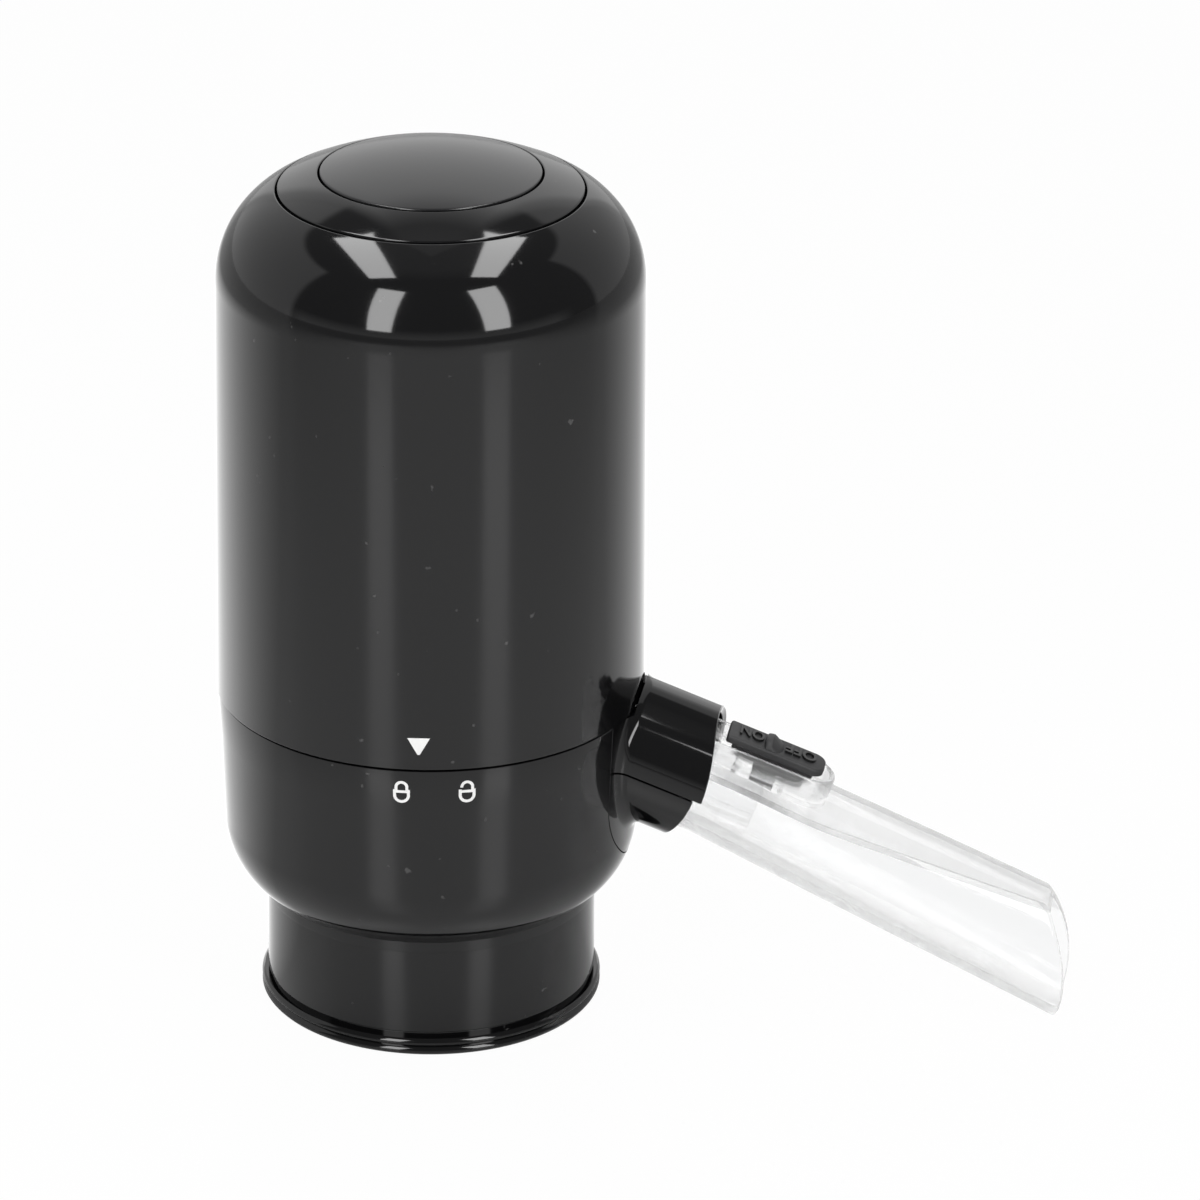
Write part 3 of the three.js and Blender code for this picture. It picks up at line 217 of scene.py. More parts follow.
CARRIER_BAR_HALF_WIDTH = 1.3
CARRIER_BAR_HEIGHT = 1.2
CARRIER_INSET = 1.0
CARRIER_BAR_START = 12.8
CARRIER_BAR_OVERLAP = 0.6
CARRIER_BAR_EDGE = 0.25
FIN_START = 13.0
FIN_END = 16.0
FIN_HALF_WIDTH = 0.9
FIN_LOW = 1.9

# Printed marks: angles from the middle of the front, in degrees, and heights
FRONT = math.radians(-79.7)
MARK_STROKE = 0.35
TRIANGLE_ANGLE = -4.0
TRIANGLE_HALF_WIDTH = 1.32
TRIANGLE_LOW = 41.9
TRIANGLE_HEIGHT = 2.35
LOCK_ANGLE = -8.6
UNLOCK_ANGLE = 8.8
LOCK_MIDDLE = 37.1
LOCK_HALF_WIDTH = 0.82
LOCK_ROUND_MIDDLE = -0.43
LOCK_BODY_TOP = 0.3
LOCK_BAR_HEIGHT = 0.04
SHACKLE_HALF_WIDTH = 0.64
SHACKLE_MIDDLE = 0.62
SHACKLE_STUB = 0.06

# Camera
CAMERA_AZIMUTH = math.radians(8)
CAMERA_ELEVATION = math.radians(23.88)
CAMERA_DISTANCE = 800.0
CAMERA_ASIDE = 20.14
CAMERA_TARGET_HEIGHT = 50.7
CAMERA_ROLL = math.radians(0.62)
CAMERA_LENS = 201.2
SENSOR = 36.0
CAMERA_CLIP = 0.01

# Studio: lengths in metres, panes as a bearing and a width in degrees, and strips as two places,
# each to the camera's right and away from it
LAMP_RADIANCE = 8.0
PANE_DISTANCE = 0.6
PANE_FOCUS = 0.08
PANE_LOW = math.radians(6)
PANE_HIGH = math.radians(48)
PANES = (("left", -25, 15), ("right", 36, 16))
STRIP_HEIGHT = 0.28
STRIP_WIDTH = 0.048
STRIPS = (("left", (-0.077, -0.105), (-0.077, 0.066)), ("right", (0.089, -0.095), (0.069, 0.072)))
FLOOR_HALF_WIDTH = 3.0
FLOOR_LOW = -0.00002
FLOOR_COLOR = (0.68, 0.68, 0.68, 1)
FLOOR_ROUGHNESS = 0.25
FLOOR_WHITE_SHARE = 0.97
GLOW_NEAR = (0.25, 0.4, 1, 0)
GLOW_LEFT = (0.35, 1, 0, 1)
GLOW_RIGHT = (0.65, 1, 0, 0.55)
GLOW_BEARING = 150

# Room: bearings in degrees from the camera's side, each with its fade and brightness
ROOM_BASE = 0.16
LEFT_WALL = (-116, 0.75, 0.79, 0, 0.58)
RIGHT_WALL = (127, 0.86, 0.89, 0, 0.46)
WALL_TOP = (0.7, 0.73, 1, 0)
BACK_WALL = (180, 0.9, 0.94, 0, 1)
BACK_RISE = (-0.12, 0.72, 0.65, 1.28)
BACK_TOP = (0.74, 0.9, 1, 0.1)
CAMERA_SIDE = (0, 0.15, 0.35, 0, 1)
SKYLINE = (0.0, 0.14, 0.38, 0)
CEILING = (0.88, 0.96, 0, 0.12)

# Finishes: scales of the noise per metre, roughness, and bumps as strength and depth
IOR = 1.5
SPECULAR_LEVEL = 0.5
CLEAR_IOR = 1.46
CLEAR_DENSITY = 0.6
DUST_SCALE = 620
DUST_LEVEL = (0.74, 0.78, 0, 1)
HAZE_SCALE = 45
HAZE_SWING = 0.2
WAVE_SCALE = 70
WAVE_BUMP = (0.05, 0.05)
GRAIN_SCALE = 900
RUBBER_GRAIN_SCALE = 1400
WRAP_GRAIN_SCALE = 300
GRAIN_FADE = (0.35, 0.65, 0, 1)
GRAIN_SWING = 0.05
GRAIN_BUMP = (0.5, 0.03)
FLOW_SCALE = 90
FLOW_STRETCH = (1, 1, 2.5)
FLOW_SHARE = 0.985
FLOW_BUMP = (0.12, 0.06)
FLOW_ROUGHNESS = (0.0, 0.03)
DRAWN_SCALE = 500
DRAWN_SWING = 0.06
DRAWN_BUMP = (0.2, 0.01)
MIDDLE = (0.3, 0.7)
GLOSS_ROUGHNESS = 0.07
BUTTON_ROUGHNESS = 0.16

SOCKET = Matrix.Translation((BODY_RADIUS, 0, ROOT_HEIGHT)) @ Matrix.Rotation(SOCKET_PITCH, 4, "Y")
INSERT_PLACE = SOCKET @ Matrix.Translation((0, 0, -INSERT_DROP))


# Outlines

def arc(centre, height, radius, start, end, steps):
    """Points of (radius, height) on an arc between two angles."""
    steps = max(int(steps * DETAIL), 4)
    angles = [start + (end - start) * i / steps for i in range(steps + 1)]
    return [(centre + radius * math.cos(a), height + radius * math.sin(a)) for a in angles]


def rounded(corners, steps=5):
    """A closed outline in which each corner given as (x, y, radius) is rounded by that radius."""
    points = []
    count = len(corners)
    for i, corner in enumerate(corners):
        if len(corner) == 2:
            points.append(tuple(corner))
            continue
        here = Vector(corner[:2])
        before = (Vector(corners[i - 1][:2]) - here).normalized()
        after = (Vector(corners[(i + 1) % count][:2]) - here).normalized()
        angle = before.angle(after)
        reach = corner[2] / math.tan(angle / 2)
        centre = here + (before + after).normalized() * corner[2] / math.sin(angle / 2)
        start = here + before * reach - centre
        end = here + after * reach - centre
        turn = start.angle(end)
        for k in range(steps + 1):
            share = k / steps
            spoke = start * math.sin((1 - share) * turn) + end * math.sin(share * turn)
            points.append(tuple(centre + spoke / math.sin(turn)))
    return points


def crown_at(radius):
    return BODY_HEIGHT - CROWN_RADIUS + math.sqrt(CROWN_RADIUS ** 2 - radius ** 2)


def crown(start, end, steps, drop=0.0):
    radii = [start + (end - start) * i / steps for i in range(steps + 1)]
    return [(r, crown_at(r) - drop) for r in radii]


# Meshes

def lathe(outline, steps=ROUND):
    """A closed outline of (radius, height) turned about the vertical axis."""
    verts, rows, faces = [], [], []
    for radius, height in outline:
        if radius < 1e-6:
            rows.append([len(verts)] * steps)
            verts.append((0.0, 0.0, height))
            continue
        rows.append(list(range(len(verts), len(verts) + steps)))
        for k in range(steps):
            angle = 2 * math.pi * k / steps
            verts.append((radius * math.cos(angle), radius * math.sin(angle), height))
    for low, high in zip(rows, rows[1:] + rows[:1]):
        for k in range(steps):
            n = (k + 1) % steps
            corners = list(dict.fromkeys((low[k], low[n], high[n], high[k])))
            if len(corners) > 2:
                faces.append(corners)
    return verts, faces


def grid(rows, columns, rows_closed, columns_closed):
    """Faces between the points of a table, which may close on itself in either direction."""
    faces = []
    for i in range(rows if rows_closed else rows - 1):
        j = (i + 1) % rows
        for k in range(columns if columns_closed else columns - 1):
            n = (k + 1) % columns
            faces.append((i * columns + k, i * columns + n, j * columns + n, j * columns + k))
    return faces


def loft(rings):
    """Closed rings of equal length joined one to the next, with a face over each end."""
    sides = len(rings[0])
    verts = [point for ring in rings for point in ring]
    faces = grid(len(rings), sides, False, True)
    faces.append(tuple(reversed(range(sides))))
    last = (len(rings) - 1) * sides
    faces.append(tuple(range(last, last + sides)))
    return verts, faces


def block(low, high):
    """The box between two corners."""
    ring = [(low[0], low[1]), (high[0], low[1]), (high[0], high[1]), (low[0], high[1])]
    return loft([[(x, y, z) for x, y in ring] for z in (low[2], high[2])])


def stadium_ring(start, end, half, inset, height, steps=24):
    """A ring with two straight sides and two round ends, along X."""
    radius = half - inset
    ring = []
    for centre, first in ((end - half, -math.pi / 2), (start + half, math.pi / 2)):
        for k in range(steps + 1):
            angle = first + math.pi * k / steps
            ring.append((centre + radius * math.cos(angle), radius * math.sin(angle), height))
    return ring


def stadium(start, end, half, low, high, edge=0.0, low_edge=0.0):
    """A plate with two round ends and, if asked, rounded edges."""
    levels = []
    if low_edge:
        levels += [(y, low + x) for x, y in rounding(low_edge)]
    else:
        levels.append((0.0, low))
    if edge:
        levels += [(x, high - y) for x, y in rounding(edge)]
    else:
        levels.append((0.0, high))
    return loft([stadium_ring(start, end, half, inset, height) for inset, height in levels])


def rounding(edge, steps=5):
    """A quarter circle from one side of a corner to the other, as distances in and down."""
    angles = [math.pi / 2 * k / steps for k in range(steps + 1)]
    return [(edge * (1 - math.cos(a)), edge * (1 - math.sin(a))) for a in angles]


def weld(mesh, distance, outward=False):
    """Joins corners within a distance in metres, and turns the faces outward if asked."""
    work = bmesh.new()
    work.from_mesh(mesh)
    bmesh.ops.remove_doubles(work, verts=work.verts, dist=distance)
    bmesh.ops.dissolve_degenerate(work, edges=work.edges, dist=distance)
    if outward:
        bmesh.ops.recalc_face_normals(work, faces=work.faces)
    work.to_mesh(mesh)
    work.free()


def in_scene(name, data):
    obj = bpy.data.objects.new(name, data)
    bpy.context.scene.collection.objects.link(obj)
    return obj


def mesh_object(name, shape, place=Matrix()):
    """A mesh in metres with outward faces and joined corners."""
    verts, faces = shape
    mesh = bpy.data.meshes.new(name)
    mesh.from_pydata([place @ Vector(v) * MM for v in verts], [], faces)
    weld(mesh, WELD_BEFORE, outward=True)
    return in_scene(name, mesh)


def combine(obj, operation, *shapes, place=Matrix()):
    """Adds, cuts or intersects an object with each shape in turn."""
    for shape in shapes:
        other = mesh_object(obj.name + "_tool", shape, place)
        step = obj.modifiers.new("step", "BOOLEAN")
        step.operation = operation
        step.solver = "EXACT"
        step.object = other
        graph = bpy.context.evaluated_depsgraph_get()
        result = bpy.data.meshes.new_from_object(obj.evaluated_get(graph))
        obj.modifiers.clear()
        old = obj.data
        obj.data = result
        result.name = obj.name
        spent = other.data
        bpy.data.objects.remove(other)
        bpy.data.meshes.remove(spent)
        bpy.data.meshes.remove(old)


def finish(obj, slot, body, *nodes, material=None, weighted=False):
    """Shading, finish and place in the frame for a piece that is done."""
    mesh = obj.data
    weld(mesh, WELD_AFTER)
    mesh.materials.clear()
    mesh.materials.append(material or finishes[slot])
    mesh.shade_smooth()
    mesh.set_sharp_from_angle(angle=SMOOTH_ANGLE)
    if weighted:
        even = obj.modifiers.new("even_shading", "WEIGHTED_NORMAL")
        even.keep_sharp = True
    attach(obj, body)
    if nodes:
        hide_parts(*nodes)
    return obj


# Finishes

def new_material(name):
    material = bpy.data.materials.new(name)
    material.use_nodes = True
    tree = material.node_tree
    shader = tree.nodes["Principled BSDF"]
    coords = tree.nodes.new("ShaderNodeTexCoord")
    return material, tree, shader, coords.outputs["Object"]


def noise(tree, coords, scale, detail=3.0, rough=0.5, stretch=(1, 1, 1)):
    mapping = tree.nodes.new("ShaderNodeMapping")
    mapping.inputs["Scale"].default_value = stretch
    tree.links.new(coords, mapping.inputs["Vector"])
    node = tree.nodes.new("ShaderNodeTexNoise")
    node.inputs["Scale"].default_value = scale
    node.inputs["Detail"].default_value = detail
    node.inputs["Roughness"].default_value = rough
    tree.links.new(mapping.outputs["Vector"], node.inputs["Vector"])
    return node.outputs["Fac"]


def remap(tree, value, low, high, to_low, to_high):
    node = tree.nodes.new("ShaderNodeMapRange")
    for key, number in zip(("From Min", "From Max", "To Min", "To Max"), (low, high, to_low, to_high)):
        node.inputs[key].default_value = number
    tree.links.new(value, node.inputs["Value"])
    return node.outputs["Result"]


def math_node(tree, operation, *values):
    node = tree.nodes.new("ShaderNodeMath")
    node.operation = operation
    for socket, value in zip(node.inputs, values):
        if isinstance(value, (int, float)):
            socket.default_value = value
        else:
            tree.links.new(value, socket)
    return node.outputs[0]


def product(tree, *values):
    total = values[0]
    for value in values[1:]:
        total = math_node(tree, "MULTIPLY", total, value)
    return total


def vector_node(tree, operation, value, other=None):
    node = tree.nodes.new("ShaderNodeVectorMath")
    node.operation = operation
    tree.links.new(value, node.inputs[0])
    if other is not None:
        node.inputs[1].default_value = other
    return node.outputs["Value" if operation in ("DOT_PRODUCT", "LENGTH") else "Vector"]


def two_tone(tree, shader, value, dark, light):
    """Colours a surface between a dark and a light tone."""
    node = tree.nodes.new("ShaderNodeMix")
    node.data_type = "RGBA"
    node.inputs["A"].default_value = (*dark, 1)
    node.inputs["B"].default_value = (*light, 1)
    tree.links.new(value, node.inputs["Factor"])
    tree.links.new(node.outputs["Result"], shader.inputs["Base Color"])


def roughen(tree, shader, value, low, high):
    """Varies a surface's roughness between two values."""
    tree.links.new(remap(tree, value, *MIDDLE, low, high), shader.inputs["Roughness"])


def bump(tree, shader, height, strength, distance):
    node = tree.nodes.new("ShaderNodeBump")
    node.inputs["Strength"].default_value = strength
    node.inputs["Distance"].default_value = distance * MM
    tree.links.new(height, node.inputs["Height"])
    tree.links.new(node.outputs["Normal"], shader.inputs["Normal"])


def gloss_plastic(name, color, speck, roughness):
    """Polished moulding with a faint unevenness and a few specks of dust."""
    material, tree, shader, coords = new_material(name)
    dust = remap(tree, noise(tree, coords, DUST_SCALE, 2.0), *DUST_LEVEL)
    two_tone(tree, shader, dust, color, speck)
    haze = noise(tree, coords, HAZE_SCALE, 4.0)
    roughen(tree, shader, haze, roughness * (1 - HAZE_SWING), roughness * (1 + HAZE_SWING))
    bump(tree, shader, noise(tree, coords, WAVE_SCALE, 1.0), *WAVE_BUMP)
    shader.inputs["IOR"].default_value = IOR
    return material


def socket_plastic(name):
    """Polished moulding whose reflections are switched off inside the socket's bore, as painted shade in
    that recess.
    """
    material = gloss_plastic(name, BLACK, DUST, GLOSS_ROUGHNESS)
    tree = material.node_tree
    shader = tree.nodes["Principled BSDF"]
    inverse = SOCKET.inverted()
    mapping = tree.nodes.new("ShaderNodeMapping")
    mapping.inputs["Location"].default_value = inverse.translation * MM
    mapping.inputs["Rotation"].default_value = inverse.to_euler()
    tree.links.new(tree.nodes.new("ShaderNodeTexCoord").outputs["Object"], mapping.inputs["Vector"])
    across = vector_node(tree, "MULTIPLY", mapping.outputs["Vector"], (0, 1, 1))
    edge = (SOCKET_BORE + EDGE / 2) * MM
    outside = remap(tree, vector_node(tree, "LENGTH", across), edge, edge + EDGE / 2 * MM, 0, 1)
    # Specular level drops to nothing inside the bore: painted shade in the recess.
    tree.links.new(product(tree, outside, SPECULAR_LEVEL), shader.inputs["Specular IOR Level"])
    return material


def matte_plastic(name, color, light, roughness, grain=GRAIN_SCALE):
    """Fine-grained moulding."""
    material, tree, shader, coords = new_material(name)
    shade = remap(tree, noise(tree, coords, grain / 6), *GRAIN_FADE)
    two_tone(tree, shader, shade, color, light)
    fine = noise(tree, coords, grain, 4.0, 0.6)
    roughen(tree, shader, fine, roughness - GRAIN_SWING, roughness + GRAIN_SWING)
    bump(tree, shader, fine, *GRAIN_BUMP)
    return material


def clear_plastic(name, tint):
    """Thin clear moulding with a slight waviness. A low density keeps its bent edges pale."""
    material, tree, shader, coords = new_material(name)
    flow = noise(tree, coords, FLOW_SCALE, 2.0, 0.4, FLOW_STRETCH)
    pale = tuple(channel * FLOW_SHARE for channel in tint)
    two_tone(tree, shader, flow, pale, tint)
    roughen(tree, shader, flow, *FLOW_ROUGHNESS)
    bump(tree, shader, flow, *FLOW_BUMP)
    shader.inputs["Transmission Weight"].default_value = 1.0
    shader.inputs["IOR"].default_value = CLEAR_IOR
    shader.inputs["Alpha"].default_value = CLEAR_DENSITY
    return material


def metal(name, color, light, roughness, stretch):
    """Plated or rolled metal with fine drawn lines."""
    material, tree, shader, coords = new_material(name)
    lines = noise(tree, coords, DRAWN_SCALE, 3.0, 0.5, stretch)
    two_tone(tree, shader, lines, color, light)
    roughen(tree, shader, lines, roughness - DRAWN_SWING, roughness + DRAWN_SWING)
    bump(tree, shader, lines, *DRAWN_BUMP)
    shader.inputs["Metallic"].default_value = 1.0
    return material


BLACK = (0.003, 0.003, 0.0033)
DUST = (0.05, 0.05, 0.05)
finishes = {name: kind(name, *values) for name, kind, *values in (
    ("gloss_black", gloss_plastic, BLACK, DUST, GLOSS_ROUGHNESS),
    ("button_black", gloss_plastic, (0.006, 0.006, 0.0065), DUST, BUTTON_ROUGHNESS),
    ("clear_plastic", clear_plastic, (0.96, 0.963, 0.965)),
    ("soft_black", matte_plastic, (0.018, 0.018, 0.019), (0.026, 0.026, 0.027), 0.55),
    ("slider_grey", matte_plastic, (0.13, 0.13, 0.13), (0.17, 0.17, 0.17), 0.45),
    ("inner_black", matte_plastic, (0.02, 0.02, 0.02), (0.03, 0.03, 0.03), 0.5),
    ("seal_rubber", matte_plastic, (0.025, 0.025, 0.026), (0.04, 0.04, 0.042), 0.7, RUBBER_GRAIN_SCALE),
    ("white_plastic", matte_plastic, (0.72, 0.72, 0.7), (0.82, 0.82, 0.8), 0.4),
    ("steel", metal, (0.5, 0.51, 0.53), (0.7, 0.71, 0.72), 0.3, (1, 1, 8)),
    ("brass", metal, (0.68, 0.5, 0.24), (0.82, 0.64, 0.34), 0.32, (8, 1, 1)),
    ("board", matte_plastic, (0.02, 0.1, 0.045), (0.04, 0.16, 0.07), 0.4),
    ("cell_wrap", matte_plastic, (0.02, 0.06, 0.2), (0.035, 0.09, 0.28), 0.3, WRAP_GRAIN_SCALE),
)}
socket_black = socket_plastic("socket_black")
# The letters' black, darker than the slider's top, is painted shade: it stands for the shadows round the
# raised letters.
letter_painted_shade = matte_plastic("letter_painted_shade", (0.004, 0.004, 0.004), (0.007, 0.007, 0.007), 0.35)
print_white = matte_plastic("print_white", (0.78, 0.78, 0.77), (0.86, 0.86, 0.85), 0.45)


# Head

def shoulder():
    """The shoulder's centre, its height, and the angle at which it meets the crown's opening."""
    centre = BODY_RADIUS - UPPER_DRAFT - SHOULDER_RADIUS
    opening = RING_RADIUS + GROOVE / 2
    angle = math.acos((opening - centre) / SHOULDER_RADIUS)
    return centre, crown_at(opening) - SHOULDER_RADIUS * math.sin(angle), angle


def upper_housing():
    centre, height, angle = shoulder()
    inner_radius = SHOULDER_RADIUS - WALL
    inner_angle = math.acos((RING_RADIUS + GROOVE / 2 - centre) / inner_radius)
    low = SEAM_HEIGHT + SEAM_GAP / 2
    outer = arc(centre, height, SHOULDER_RADIUS, 0, angle, SHOULDER_STEPS)
    inner = arc(centre, height, inner_radius, inner_angle, 0, WALL_STEPS)
    outline = [(BODY_RADIUS - WALL, low), (SKIN_RADIUS, low, EDGE), *outer[:-1]]
    outline += [(*outer[-1], GROOVE_EDGE), *inner]
    obj = mesh_object("upper_housing_skin", lathe(rounded(outline)))
    return finish(obj, "gloss_black", "head", "upper_housing")


def top_ring():
    centre, height, _ = shoulder()
    inner = BUTTON_RADIUS + GROOVE / 2
    outer = RING_RADIUS - GROOVE / 2
    ledge = GUIDE_TOP + LEDGE_HEIGHT
    inner_shoulder = SHOULDER_RADIUS - WALL
    angle = math.acos((RING_FLANGE_RADIUS - centre) / inner_shoulder)
    flange_top = height + inner_shoulder * math.sin(angle) - RUNNING_GAP
    top = crown(inner, outer, RING_STEPS)
    outline = [(*top[0], GROOVE_EDGE), *top[1:-1], (*top[-1], GROOVE_EDGE)]
    outline += [(outer, flange_top), (RING_FLANGE_RADIUS, flange_top), (RING_FLANGE_RADIUS, GUIDE_TOP)]
    outline += [(RING_SKIRT_INNER, GUIDE_TOP), (RING_SKIRT_INNER, ledge), (inner, ledge)]
    obj = mesh_object("trim_ring", lathe(rounded(outline)))
    return finish(obj, "gloss_black", "head", "top_ring")


def button_cap():
    outer = BUTTON_RADIUS - GROOVE / 2
    skirt = outer - BUTTON_SKIRT_WALL
    flange_high = GUIDE_TOP + LEDGE_HEIGHT - RUNNING_GAP
    flange_low = flange_high - BUTTON_FLANGE_HEIGHT
    top = crown(outer, 0, CROWN_STEPS)
    outline = [(0, BUTTON_POST_LOW), (BUTTON_POST_RADIUS, BUTTON_POST_LOW)]
    outline += crown(BUTTON_POST_RADIUS, skirt, UNDERCROWN_STEPS, BUTTON_WALL)
    outline += [(skirt, flange_low), (BUTTON_FLANGE_RADIUS, flange_low)]
    outline += [(BUTTON_FLANGE_RADIUS, flange_high), (outer, flange_high), (*top[0], GROOVE_EDGE), *top[1:]]
    obj = mesh_object("push_button", lathe(rounded(outline)))
    return finish(obj, "button_black", "button", "button_cap")


# Base

def slot_half_width(height, reach):
    """Half the width of the socket's U-shaped slot at a height."""
    middle = SLOT_BOTTOM + SLOT_HALF_WIDTH
    if height >= middle:
        return reach
    return math.sqrt(max(reach ** 2 - (middle - height) ** 2, 0))


def skin_radius(height, inset=0.0):
    """The lower housing's radius at a height, or that of its inner wall."""
    if height < UNDERSIDE_START:
        drop = UNDERSIDE_START - height
        reach = UNDERSIDE_RADIUS - inset
        return UNDERSIDE_CENTRE + math.sqrt(reach ** 2 - drop ** 2)
    share = (height - UNDERSIDE_START) / (LOWER_TOP - UNDERSIDE_START)
    return LOWER_BOTTOM_RADIUS + (LOWER_TOP_RADIUS - LOWER_BOTTOM_RADIUS) * share - inset


def lower_housing():
    angles = [math.pi / 2 * k / SLOT_STEPS for k in range(SLOT_STEPS + 1)]
    heights = [SLOT_BOTTOM + SLOT_HALF_WIDTH * (1 - math.cos(a)) for a in angles]
    heights += [heights[-1] + (LOWER_TOP - EDGE - heights[-1]) * share for share in (0.5, 1)]

    def underside(inset):
        reach = UNDERSIDE_RADIUS - inset
        first = -math.acos((NECK_HOLE_RADIUS - UNDERSIDE_CENTRE) / reach)
        last = -math.asin((UNDERSIDE_START - SLOT_BOTTOM) / reach)
        return arc(UNDERSIDE_CENTRE, UNDERSIDE_START, reach, first, last, WALL_STEPS)[:-1]

    outer = underside(0) + [(skin_radius(z), z) for z in heights]
    edge = [(skin_radius(LOWER_TOP) - x, LOWER_TOP - y) for x, y in rounding(EDGE, 3)[1:]]
    inner = [(skin_radius(z, WALL), z) for z in heights]
    outline = outer + edge + [(skin_radius(LOWER_TOP, WALL), LOWER_TOP)]
    outline += inner[::-1] + underside(WALL)[::-1]
    wide = ROUND + 1
    verts = []
    for radius, height in outline:
        half = slot_half_width(height, SLOT_HALF_WIDTH) if height > SLOT_BOTTOM else 0.0
        start = math.asin(half / radius)
        for k in range(wide):
            angle = start + (2 * math.pi - 2 * start) * k / ROUND
            verts.append((radius * math.cos(angle), radius * math.sin(angle), height))
    faces = grid(len(outline), wide, True, False)
    first = len(outer) - len(heights)
    last_inner = len(outer) + len(edge) + len(heights)
    for column in (0, ROUND):
        for i in range(len(heights) - 1):
            a, b = first + i, first + i + 1
            c, d = last_inner - i - 1, last_inner - i
            faces.append(tuple(row * wide + column for row in (a, b, c, d)))
        rim = [first + len(heights) - 1 + i for i in range(len(edge) + 3)]
        faces.append(tuple(row * wide + column for row in rim))
    obj = mesh_object("lower_housing_skin", (verts, faces))
    return finish(obj, "gloss_black", "base", "lower_housing")


def neck_sleeve():
    low = LIP_HEIGHT + LIP_GROOVE_HEIGHT
    reach = NECK_HOLE_RADIUS - UNDERSIDE_CENTRE
    band_low = UNDERSIDE_START - math.sqrt(UNDERSIDE_RADIUS ** 2 - reach ** 2) - SLEEVE_BAND_HEIGHT
    outline = [(SLEEVE_BORE, low), (SLEEVE_RADIUS, low, EDGE), (SLEEVE_RADIUS, band_low)]
    outline += [(SLEEVE_BAND_RADIUS, band_low, EDGE / 2), (SLEEVE_BAND_RADIUS, DECK_LOW)]
    outline.append((SLEEVE_BORE, DECK_LOW))
    obj = mesh_object("neck_sleeve_skin", lathe(rounded(outline)))
    return finish(obj, "gloss_black", "base", "neck_sleeve")


def lip_ring():
    bead = LIP_HEIGHT / 2
    dip = LIP_RADIUS - BEAD_DIP
    neck = LIP_RADIUS - LIP_GROOVE_DEPTH - BEAD_DIP
    outline = [(SLEEVE_BORE, 0, EDGE)]
    for row in (0, 1):
        shares = [k / BEAD_STEPS for k in range(BEAD_STEPS + row)]
        outline += [(dip + BEAD_DIP * math.sin(s * math.pi), (row + s) * bead) for s in shares]
    high = LIP_HEIGHT + LIP_GROOVE_HEIGHT
    outline += [(neck, LIP_HEIGHT), (neck, high), (SLEEVE_BORE, high)]
    obj = mesh_object("lip_ring_skin", lathe(rounded(outline)))
    return finish(obj, "gloss_black", "base", "lip_ring")


# Socket

def skin_along(distance, angle, inset=0.0):
    """How far along the socket's axis the housing's skin lies, at a distance and angle about the axis."""
    side = distance * math.cos(angle)
    rise = distance * math.sin(angle)
    radius = LOWER_TOP_RADIUS - inset
    for _ in range(6):
        out = math.sqrt(radius ** 2 - side ** 2) - BODY_RADIUS
        along = (out - rise * math.sin(SOCKET_PITCH)) / math.cos(SOCKET_PITCH)
        height = ROOT_HEIGHT - along * math.sin(SOCKET_PITCH) + rise * math.cos(SOCKET_PITCH)
        radius = skin_radius(height, inset)
    return along, height, side


def flange_reach(angle):
    """How far from the socket's axis the flange runs before the slot's edge or the seam."""
    half = SLOT_HALF_WIDTH - SLOT_GAP
    low = SOCKET_RADIUS + FLARE
    high = low + SLOT_HALF_WIDTH

    def inside(distance):
        _, height, side = skin_along(distance, angle)
        if height > LOWER_TOP or height < SLOT_BOTTOM + SLOT_GAP:
            return False
        return abs(side) < slot_half_width(height, half)

    if not inside(low):
        return low
    for _ in range(24):
        middle = (low + high) / 2
        if inside(middle):
            low = middle
        else:
            high = middle
    return low


def socket_form(length):
    """The whole socket before it is parted: flange, flare and collar round the bore."""
    profiles = []
    for k in range(COLLAR_SIDES):
        angle = 2 * math.pi * k / COLLAR_SIDES
        reach = flange_reach(angle)

        def point(distance, along):
            return along, distance * math.cos(angle), distance * math.sin(angle)

        def end(distance):
            side = distance * math.cos(angle)
            return length + SADDLE_RADIUS - math.sqrt(SADDLE_RADIUS ** 2 - side ** 2)

        profile = [point(SOCKET_BORE, skin_along(SOCKET_BORE, angle, WALL)[0])]
        profile.append(point(SOCKET_BORE, end(SOCKET_BORE) - EDGE))
        profile += [point(d, end(d)) for d in (SOCKET_BORE + EDGE, SOCKET_RADIUS - EDGE)]
        profile.append(point(SOCKET_RADIUS, end(SOCKET_RADIUS) - EDGE))
        for i in range(FLARE_STEPS + 1):
            turn = math.pi / 2 * (1 - i / FLARE_STEPS)
            distance = SOCKET_RADIUS + FLARE * (1 - math.sin(turn))
            profile.append(point(distance, skin_along(distance, angle)[0] + FLARE * (1 - math.cos(turn))))
        first = SOCKET_RADIUS + FLARE
        for share in (0.3, 0.6, 1):
            distance = first + (reach - first) * share
            profile.append(point(distance, skin_along(distance, angle)[0]))
        for share in (0, 0.5):
            distance = reach + (SOCKET_BORE - reach) * share
            profile.append(point(distance, skin_along(distance, angle, WALL)[0]))
        profiles.append(profile)
    verts = [point for profile in profiles for point in profile]
    return verts, grid(COLLAR_SIDES, len(profiles[0]), True, True)


def socket_half(name, node, side, length):
    obj = mesh_object(name, socket_form(length), SOCKET)
    radius = BODY_RADIUS + RUNNING_GAP
    above = [(0, LOWER_TOP), (radius, LOWER_TOP), (radius, BODY_HEIGHT), (0, BODY_HEIGHT)]
    combine(obj, "DIFFERENCE", lathe(above))
    far = 2 * BODY_RADIUS
    gap = PARTING_GAP / 2
    low, high = (gap, far) if side > 0 else (-far, -gap)
    combine(obj, "INTERSECT", block((-far, -far, low), (far, far, high)), place=SOCKET)
    return finish(obj, "gloss_black", "base", node, material=socket_black, weighted=True)


# Spout

def mix(start, end, share):
    return start + (end - start) * share


def eased(share):
    held = min(max(share, 0.0), 1.0)
    return held * held * (3 - 2 * held)


